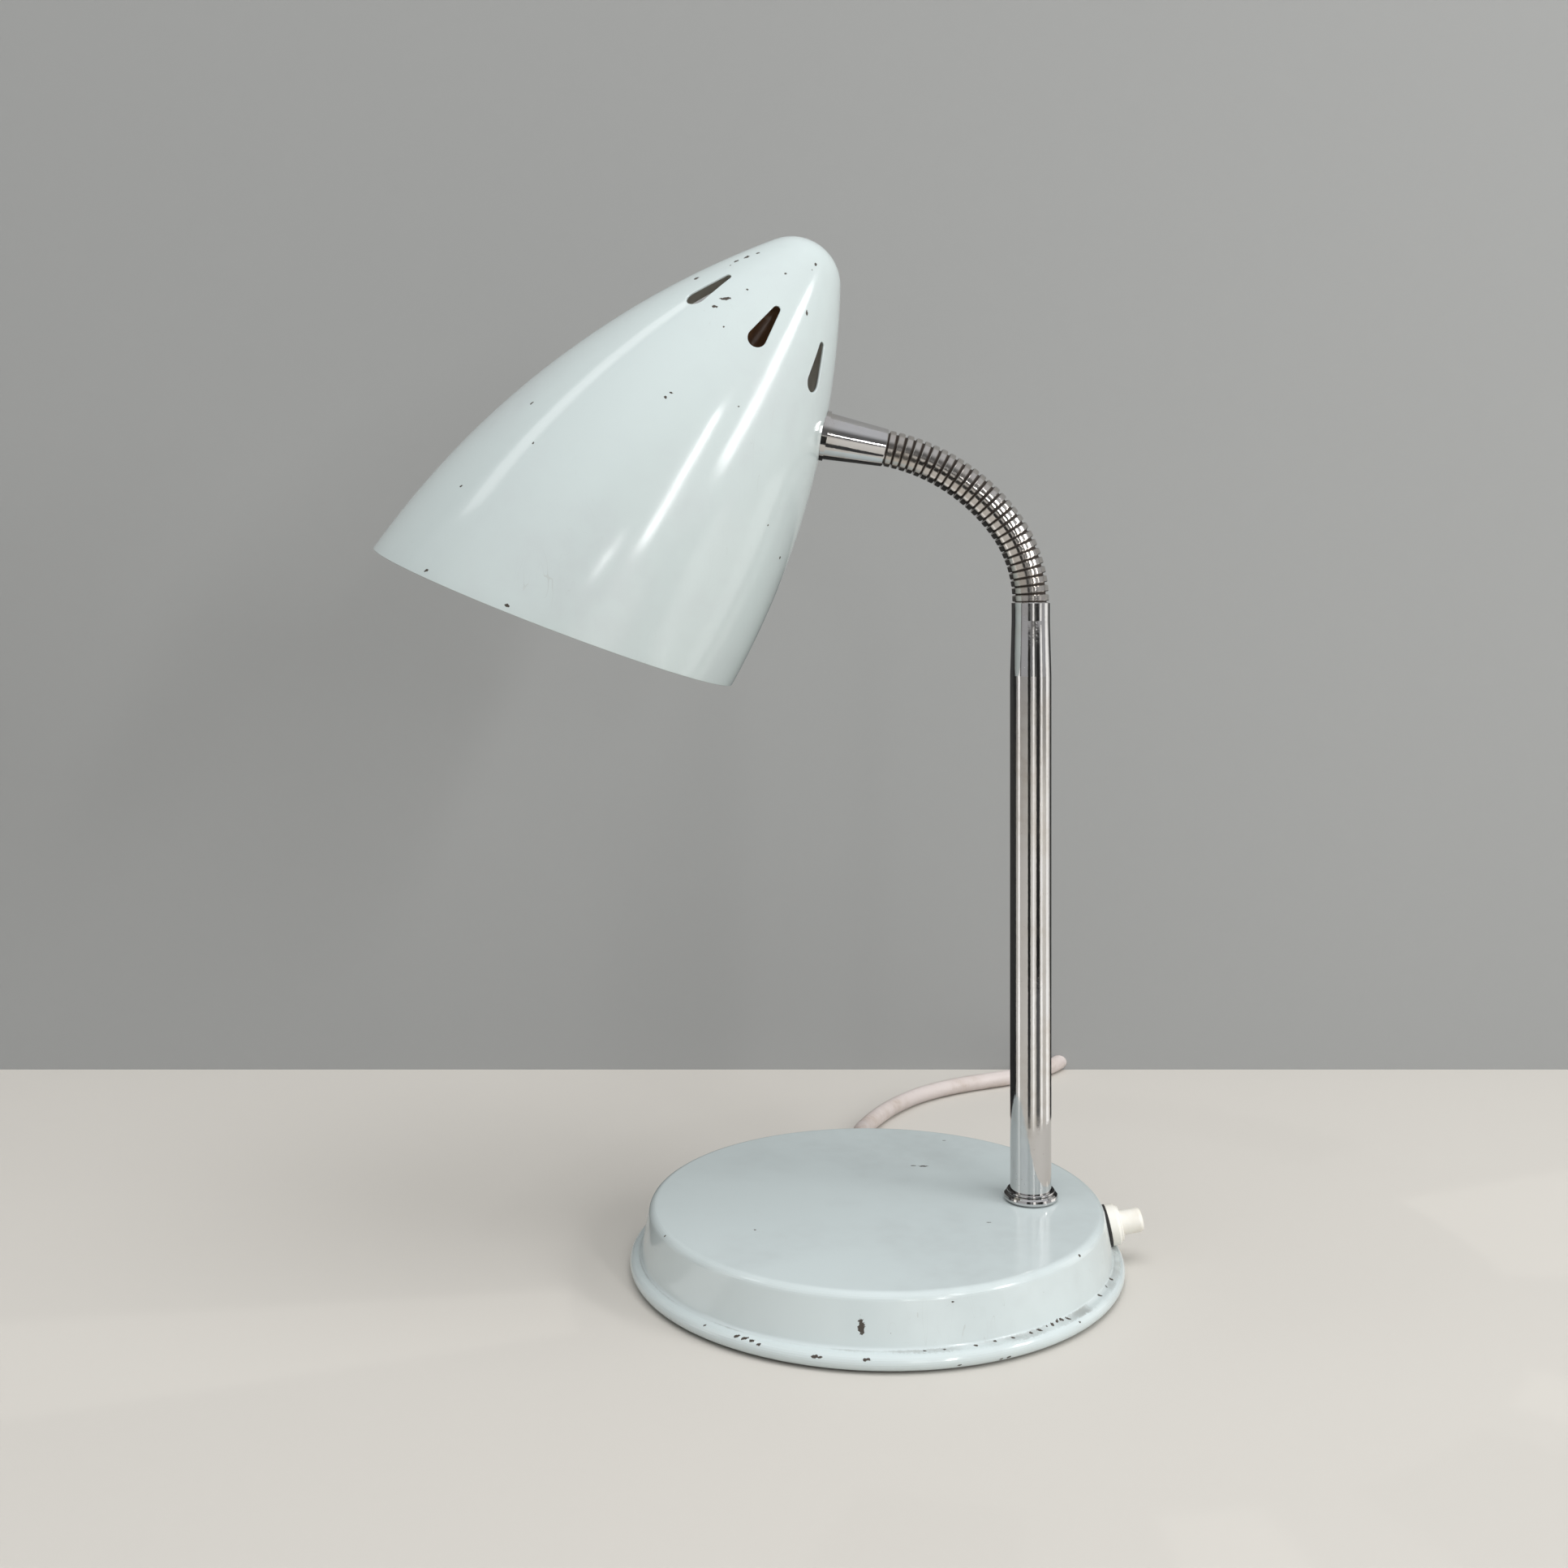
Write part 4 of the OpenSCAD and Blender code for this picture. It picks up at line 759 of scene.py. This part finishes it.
base_chips = [
    (-8.1, -74.8, 11.8, 0.9, "z"), (-7.7, -75.0, 10.9, 0.45, "z"), (-6.9, -79.2, 4.4, 0.42, "x"),
    (-21.2, -76.8, 4.2, 0.45, "x"), (-19.9, -77.2, 4.1, 0.3, "x"), (-43.6, -65.7, 5.0, 0.45, "x"),
    (-41.3, -67.2, 5.0, 0.5, "x"), (-39.3, -68.6, 4.9, 0.45, "x"), (-37.3, -70.1, 4.5, 0.36, "x"),
    (-53.2, -58.4, 4.9, 0.3, "x"), (18.2, -71.9, 17.5, 0.22, "x"), (34.1, -72.0, 1.8, 0.4, "x"),
    (31.7, -73.0, 1.7, 0.35, "x"), (19.6, -77.3, 2.0, 0.3, "x"), (57.2, -55.2, 4.4, 0.3, "x"),
    (41.3, -65.0, 5.6, 0.3, "x"), (44.1, -63.1, 5.6, 0.42, "x"), (46.5, -61.0, 5.8, 0.3, "n"),
    (48.3, -59.8, 5.7, 0.5, "z"), (50.0, -57.9, 6.0, 0.5, "n"), (51.5, -56.8, 5.8, 0.35, "d"),
    (53.5, -55.4, 5.6, 0.4, "x"), (66.1, -39.5, 5.6, 0.35, "d"), (69.1, -33.3, 5.8, 0.32, "z"),
    (71.7, -27.7, 5.7, 0.42, "d"), (76.6, 0.0, 5.9, 0.35, "z"), (9.7, -76.4, 5.6, 0.22, "x"),
    (15.3, -75.5, 5.6, 0.26, "x"), (24.5, -73.0, 5.6, 0.28, "x"), (30.4, -70.6, 5.7, 0.24, "x"),
    (35.7, -68.2, 5.6, 0.3, "x"), (-66.9, -29.6, 19.9, 0.4, "n"), (59.0, -43.6, 19.3, 0.5, "n"),
    (-39.1, -26.1, 20.5, 0.4, "n"), (34.5, -20.1, 20.5, 0.3, "x"), (27.8, 58.2, 20.5, 0.3, "x"),
    (14.6, 31.8, 20.5, 0.35, "x"), (17.9, 31.3, 20.5, 0.6, "x"),
]
# Both are one paint on the lamp. The base's tone is written a little lighter, as painted light, and the
# shade's a little darker, as painted shade, because the shade is lit more strongly than the base.
enamel("shade_enamel", (201, 212, 211), (197, 206, 206), shade_chips, 0.02)
enamel("base_enamel", (206, 216, 216), (198, 207, 207), base_chips, 0.03, hollow_dark_line)
enamel("reflector_enamel", (226, 226, 220), (216, 214, 206), [], 0.02)
print("chips placed:", len(shade_chips) + len(base_chips))

# %% [markdown]
# ## Metals
# The neck is a hose of narrow turns, and old oil and dust lie in the seams between their bright
# outer faces. Painting each seam would be slow, so a mask tells by the distance from the neck's
# middle line what lies deeper than the faces. The middle line is two arcs, and a place belongs
# to the arc on its side of the line where they meet.

# %% Seams of the neck
LOW_ARC, HIGH_ARC = (7.45, 215.8, 43.25), (-9.441, 203.072, 64.4)  # centre x, centre z, radius
MEET = math.atan2(LOW_ARC[1] - HIGH_ARC[1], LOW_ARC[0] - HIGH_ARC[0])
SEAM_R, FACE_R = 5.5 * MM, 5.72 * MM


def length(tree, x, y):
    """Length of a step of x and y."""
    step = place(tree, "ShaderNodeCombineXYZ", {0: x, 1: y}).outputs[0]
    return vectors(tree, "LENGTH", {0: step}, "Value")


def off_arc(tree, axes, arc):
    """Distance from an arc of the neck's middle line."""
    out = length(tree, minus(tree, axes[0], arc[0] * MM), minus(tree, axes[2], arc[1] * MM))
    return length(tree, minus(tree, out, arc[2] * MM), axes[1])


def neck_seams(tree, where):
    """A mask for what lies under the faces of the neck's turns."""
    axes = place(tree, "ShaderNodeSeparateXYZ", {0: where}).outputs
    x = minus(tree, axes[0], LOW_ARC[0] * MM)
    z = minus(tree, axes[2], LOW_ARC[1] * MM)
    side = maths(tree, "ADD", times(tree, x, -math.sin(MEET)), times(tree, z, math.cos(MEET)))
    on_high = maths(tree, "GREATER_THAN", side, 0.0)
    deep = level(tree, on_high, off_arc(tree, axes, LOW_ARC), off_arc(tree, axes, HIGH_ARC))
    return ramp(tree, deep, SEAM_R, FACE_R, 0.95, 0.0)


print("the arcs meet at degrees:", round(math.degrees(MEET), 1))

# %% [markdown]
# Old chrome is bright, but it is peppered with tiny rust pits and clouded by fingers. Brass and
# zinc are duller and blotched by age. They differ only in colour, gloss and pits, so one recipe
# serves them all.

# %% Metals
RUST, OLD_OIL = paint(96, 70, 48), paint(52, 40, 32)


def metal(name, colour, stain, rough, pits, pit_scale, brushed=None, seams=False):
    """A metal. Its roughness is given clean and clouded, and brushed lines by their stretch."""
    tree, shader = start(name)
    where = where_on(tree)
    pit = use(tree, specks, Place=where, Scale=pit_scale, Size=0.2, Amount=pits)
    if seams:
        pit = maths(tree, "MAXIMUM", pit, neck_seams(tree, where))
    cloud = use(tree, smudges, Place=where, Scale=38.0)
    tone = blend(tree, times(tree, cloud, 0.45), paint(*colour), paint(*stain))
    fill(tree, shader, {"Base Color": blend(tree, pit, tone, OLD_OIL if seams else RUST),
                        "Roughness": level(tree, pit, level(tree, cloud, *rough), 0.75),
                        "Metallic": level(tree, pit, 1.0, 0.25)})
    height = use(tree, uneven, Place=where, Scale=320.0, Fine=0.3)
    if brushed:
        lines = use(tree, scratches, Place=where, Stretch=brushed, Width=0.03)
        height = minus(tree, height, lines)
    bump(tree, shader, minus(tree, height, times(tree, pit, 1.5)), FAINT, 0.6)


metals = {  # colour, stain, roughness clean and clouded, pits, their scale, brushed lines, seams
    "chrome": ((208, 207, 207), (178, 168, 154), (0.05, 0.16), 0.15, 1300.0),
    "neck_chrome": ((200, 196, 192), (158, 140, 118), (0.1, 0.26), 0.16, 1500.0, None, True),
    "brass": ((206, 172, 106), (150, 116, 66), (0.24, 0.42), 0.08, 900.0),
    "zinc_plate": ((186, 186, 182), (158, 154, 142), (0.32, 0.5), 0.08, 900.0, (1500.0, 60.0, 1500.0)),
    "cap_metal": ((198, 194, 182), (164, 156, 138), (0.3, 0.46), 0.05, 900.0, (60.0, 1500.0, 1500.0)),
}
for name, recipe in metals.items():
    metal(name, *recipe)
print("metals:", len(metals))

# %% [markdown]
# ## Plastics, rubber, felt and stoneware
# The button and collar are an old white plastic, yellowed by light. The cord's covering has
# aged to a warm grey and picks up dust. One recipe serves them all: a base tone, a soiled tone
# in the clouds, a roughness span and the height of the surface's grain.

# %% Moulded and soft materials
DUST = paint(92, 82, 70)


def moulded(name, colour, soiled, rough, grain, depth, dust=0.06):
    """A plastic, rubber, felt or ceramic surface, its grain's depth in millimetres."""
    tree, shader = start(name)
    where = where_on(tree)
    cloud = use(tree, smudges, Place=where, Scale=48.0)
    dirt = times(tree, use(tree, specks, Place=where, Scale=1100.0, Size=0.2, Amount=dust), 0.6)
    tone = blend(tree, cloud, paint(*colour), paint(*soiled))
    fill(tree, shader, {"Base Color": blend(tree, dirt, tone, DUST), "Roughness": level(tree, cloud, *rough)})
    bump(tree, shader, use(tree, uneven, Place=where, Scale=grain, Fine=0.6), depth * MM, 0.8)


plain = {  # colour, soiled colour, roughness clean and soiled, grain, its depth, dust
    "aged_plastic": ((240, 238, 230), (226, 218, 202), (0.3, 0.45), 500.0, 0.04),
    "cord_pvc": ((212, 202, 198), (190, 176, 166), (0.42, 0.58), 620.0, 0.08, 0.12),
    "lead_pvc": ((120, 84, 62), (96, 66, 48), (0.45, 0.6), 620.0, 0.04),
    "black_rubber": ((38, 37, 36), (58, 55, 52), (0.55, 0.75), 800.0, 0.12, 0.16),
    "felt": ((40, 40, 42), (62, 60, 58), (0.9, 0.98), 2400.0, 0.5, 0.25),
    "bakelite": ((112, 76, 50), (134, 98, 68), (0.2, 0.34), 300.0, 0.04),
    "ceramic": ((228, 222, 208), (206, 198, 180), (0.18, 0.32), 260.0, 0.04),
    "cast_iron": ((52, 52, 54), (74, 68, 62), (0.62, 0.8), 900.0, 0.5, 0.2),
}
for name, recipe in plain.items():
    moulded(name, *recipe)
fuzz = finishes["felt"].node_tree.nodes["Principled BSDF"]
fuzz.inputs["Sheen Weight"].default_value = 0.5
print("moulded and soft materials:", len(plain))

# %% [markdown]
# The bulb is opal: glass with a white coat inside, which lets light through without showing
# the filament. Clear glass over a white layer would need both modelled. A frosted shader with
# part of its light passing through looks the same from outside.

# %% Bulb glass
tree, shader = start("bulb_glass")
where = where_on(tree)
haze = use(tree, smudges, Place=where, Scale=40.0)
fill(tree, shader, {"Base Color": blend(tree, haze, paint(244, 242, 234), paint(228, 224, 212)),
                    "Roughness": level(tree, haze, 0.26, 0.42), "Transmission Weight": 0.4, "IOR": 1.5})
bump(tree, shader, use(tree, uneven, Place=where, Scale=180.0, Fine=0.1), 0.04 * MM, 0.5)
print("finishes:", len(finishes))

# %% [markdown]
# ## Who wears what
# Each CAD node keeps its shape and takes the finish that the real piece would have: enamel on
# the pressed steel, chrome where it is seen, plain brass and zinc where it isn't.

# %% Finishes of the CAD nodes
def dress(finish, *names):
    """Gives CAD nodes their finish."""
    for name in names:
        slots = nodes[name].data.materials
        slots.clear()
        slots.append(finishes[finish])


neck_rings = [name for name in nodes if name.startswith("neck_")]
dress("base_enamel", "base_shell")
dress("chrome", "stem_collar", "stem_tube", "ferrule")
dress("neck_chrome", *neck_rings)
dress("brass", "stem_rod", "stem_nut", "lock_nuts", "holder_screw_shell", "plug_pins")
dress("zinc_plate", "base_plate", "base_screws", "stem_washer", "holder_bracket", "switch_spring")
dress("cap_metal", "bulb_cap")
dress("cast_iron", "base_weight")
dress("felt", "base_pad")
dress("bakelite", "holder_sleeve")
dress("ceramic", "holder_core", "terminal_block")
dress("bulb_glass", "bulb_glass")
dress("aged_plastic", "switch_housing", "switch_ring_nut", "switch_button")
dress("black_rubber", "switch_gasket")
dress("lead_pvc", "inner_leads")
print("neck rings:", len(neck_rings))

# %% [markdown]
# The turns of the real neck are flat bands with crisp edges. The loaded rings carry normals
# that make them look like beads, so these are taken off and every edge over 30 degrees is
# marked sharp. That changes how light falls on them and leaves their shape alone.

# %% Crisp edges on the neck
for name in neck_rings:
    turn = nodes[name].data
    turn.attributes.remove(turn.attributes["custom_normal"])
    turn.set_sharp_from_angle(angle=math.radians(30))
print("faces of one ring:", len(turn.polygons))

# %% [markdown]
# Each new piece is parented to an empty named for the body of the node that it stands for, so it
# goes along when that empty is moved, and the node that it stands for is hidden.

# %% Finishes and bodies of the new pieces
for piece, *names in ((shade, "shade_enamel", "reflector_enamel"), (strap, "black_rubber"),
                      (flex, "cord_pvc"), (boot, "cord_pvc"), (plug, "cord_pvc")):
    for name in names:
        piece.data.materials.append(finishes[name])
for piece, body, node, finish in (
        (shade, "head", "shade", "shade_enamel"), (boot, "base", "cord_boot", "cord_pvc"),
        (plug, "base", "plug_body", "cord_pvc"), (strap, "base", "cord_tie", "black_rubber")):
    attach(piece, body)
    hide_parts(node)
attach(flex, "base")
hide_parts("power_cord", "cord_coil", "cord_tail")
print("shade's materials:", len(shade.data.materials))

# %% [markdown]
# The spring under the push button gets shorter when the button goes in. Here the spring gets a
# mesh of its own, and the ends of its length are measured.

# %% Spring of the switch
spring = nodes["switch_spring"]
spring_ends = [end(v.co.x for v in spring.data.vertices) for end in (min, max)]
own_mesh(spring)
print("spring in mm:", [round(v / MM, 1) for v in spring_ends])

# %% [markdown]
# ## Stage and light
# The floor and the wall behind are plain and pale. The wall stands where the table ended in the
# photograph. A wall all round would hide the lamp from the other sides, so this one can be seen
# through from behind.

# %% Floor and wall
STAGE, WALL_Y, WALL_TOP = 4, 0.218, 3


def sheet(name, corners, faces, finish):
    """A thin piece for the stage."""
    data = bpy.data.meshes.new(name)
    data.from_pydata(corners, [], faces)
    data.materials.append(finishes[finish])
    return add(name, data)


tree, shader = start("floor")
fill(tree, shader, {"Base Color": paint(206, 202, 195), "Roughness": 0.85})
tree, shader = start("wall")
fill(tree, shader, {"Base Color": paint(160, 161, 160), "Roughness": 0.9})
behind = tree.nodes.new("ShaderNodeNewGeometry").outputs["Backfacing"]
clear = tree.nodes.new("ShaderNodeBsdfTransparent").outputs[0]
seen = place(tree, "ShaderNodeMixShader", {0: behind, 1: shader.outputs[0], 2: clear}).outputs[0]
tree.links.new(seen, tree.nodes["Material Output"].inputs[0])
floor = [(-STAGE, -STAGE, 0), (STAGE, -STAGE, 0), (STAGE, STAGE, 0), (-STAGE, STAGE, 0)]
wall = [(-STAGE, WALL_Y, 0), (STAGE, WALL_Y, 0), (STAGE, WALL_Y, WALL_TOP), (-STAGE, WALL_Y, WALL_TOP)]
for name, corners in (("floor", floor), ("wall", wall)):
    piece = sheet(name, corners, [(0, 1, 2, 3)], name)
    print("stage:", piece.name)

# %% [markdown]
# Gloss paint and chrome show the shape of what lights them. Three tall narrow lights on the
# right draw the long highlights of the shade, as a window's panes do, and one on the left lifts
# its edge. Each stands between two directions from the shade's middle, which is easier to match
# to a highlight than a place in the room. A broad one above fills in and is kept out of
# reflections, because the real chrome shows no such light.

# %% Lights
def softbox(name, place_m, aim, size, power):
    """A rectangular light that faces a point."""
    data = bpy.data.lights.new(name, "AREA")
    data.shape = "RECTANGLE"
    data.size, data.size_y = size
    data.energy = power
    lamp = add(name, data)
    lamp.location = place_m
    lamp.rotation_euler = (Vector(aim) - Vector(place_m)).to_track_quat("-Z", "Y").to_euler()
    return lamp


SHADE_MIDDLE = Vector((-0.06, -0.035, 0.27))


def strip(name, low, high, reach, width, power):
    """A softbox between two directions from the shade, in degrees right of the front and up."""
    ends = []
    for turn, up in (low, high):
        turn, up = math.radians(turn), math.radians(up)
        way = Vector((math.sin(turn) * math.cos(up), -math.cos(turn) * math.cos(up), math.sin(up)))
        ends.append(way * reach + SHADE_MIDDLE)
    middle, span = (ends[0] + ends[1]) / 2, ends[1] - ends[0]
    lamp = softbox(name, middle, SHADE_MIDDLE, (width, span.length), power)
    face = (middle - SHADE_MIDDLE).normalized()
    up = (span - face * span.dot(face)).normalized()
    lamp.rotation_euler = Matrix((up.cross(face), up, face)).transposed().to_euler()


strip("window_near", (54, 7), (80, 33), reach=1.66, width=0.20, power=7.5)
strip("window_far", (29, 1), (41, 26), reach=1.6, width=0.12, power=4.2)
strip("window_last", (13, 3), (17, 8), reach=1.6, width=0.06, power=0.6)
strip("edge", (-80, 36), (-131, 71), reach=1.0, width=0.14, power=0.7)
top = softbox("top", (0.2, -0.7, 2.6), aim=(0, 0, 0.05), size=(2.2, 2.0), power=37)
top.visible_glossy = False
print("lights:", len(bpy.data.lights))

# %% [markdown]
# Chrome looks flat when all round it is pale, so a photographer stands dark and white cards
# near it. These stand in a ring round the stem, lower than the camera, and only reflections
# see them: they throw no shadow and give no light to the paint.

# %% Shape of a card
STEM_X, CARD_TOP, CARD_FOOT, CARD_LIFT, CARD_STEPS = 0.0507, 0.215, 0.15, 0.001, 12


def card(name, turns, reach, finish):
    """An upright strip on part of a circle, by degrees right of the front, its foot laid inward."""
    corners = []
    for i in range(CARD_STEPS + 1):
        a = math.radians(turns[0] + (turns[1] - turns[0]) * i / CARD_STEPS)
        for far, up in ((CARD_FOOT, CARD_LIFT), (reach, CARD_LIFT), (reach, CARD_TOP)):
            corners.append((STEM_X + far * math.sin(a), -far * math.cos(a), up))
    faces = [(n, n + 3, n + 4, n + 1) for i in range(CARD_STEPS) for n in (3 * i, 3 * i + 1)]
    piece = sheet(name, corners, faces, finish)
    piece.visible_camera = piece.visible_diffuse = piece.visible_shadow = False


# %% Cards round the stem
tree, shader = start("black_card")
fill(tree, shader, {"Base Color": (0.02, 0.02, 0.02, 1)})
tree, shader = start("white_card")
fill(tree, shader, {"Base Color": (0, 0, 0, 1), "Emission Color": (1, 0.99, 0.96, 1),
                    "Emission Strength": 1.25})
cards = (("card_left_white", (-82, -70), 0.40), ("card_front_black", (-24, -9), 0.40),
         ("card_front_white", (3, 13), 0.40), ("card_right_black", (23, 44), 0.40),
         ("card_right_white", (50, 60), 0.40), ("card_side_white", (86, 112), 0.30),
         ("card_behind_black", (128, 264), 0.19))
for name, turns, reach in cards:
    card(name, turns, reach, "white_card" if name.endswith("white") else "black_card")
print("cards:", len(cards))

# %% [markdown]
# The world is a grey room: dim near the floor and brighter overhead. Two darker stretches of it,
# in front and to the left, are what the chrome shows as its dark bands.

# %% World
DIM, BRIGHT = (0.42, 0.42, 0.425, 1), (0.62, 0.63, 0.65, 1)
DARK, SEEN = (0.05, 0.048, 0.045, 1), (0.72, 0.72, 0.72, 1)
STRETCHES = ((0.25, 0.18, 0.5), (-1.35, 0.12, 0.35))  # middle and half widths, in radians to the right
world = bpy.data.worlds.new("studio")
world.use_nodes = True
bpy.context.scene.world = world
tree = world.node_tree
sky = tree.nodes["Background"]
way = tree.nodes.new("ShaderNodeTexCoord").outputs["Generated"]
axes = place(tree, "ShaderNodeSeparateXYZ", {0: way}).outputs
round_the_lamp = maths(tree, "ARCTAN2", axes[0], times(tree, axes[1], -1.0))
masks = []
for middle, full, none in STRETCHES:
    off = maths(tree, "ABSOLUTE", minus(tree, round_the_lamp, middle))
    masks.append(ramp(tree, off, full, none, 1.0, 0.0))
dark = maths(tree, "MAXIMUM", *masks)
dark = times(tree, dark, ramp(tree, axes[2], 0.35, 0.75, 1.0, 0.0))
glow = blend(tree, ramp(tree, axes[2], -0.15, 0.75), DIM, BRIGHT)
glow = blend(tree, times(tree, dark, 0.8), glow, DARK)
camera_ray = tree.nodes.new("ShaderNodeLightPath").outputs["Is Camera Ray"]
tree.links.new(blend(tree, camera_ray, glow, SEEN), sky.inputs[0])
bpy.context.scene.view_settings.view_transform = "Standard"
print("world:", world.name)
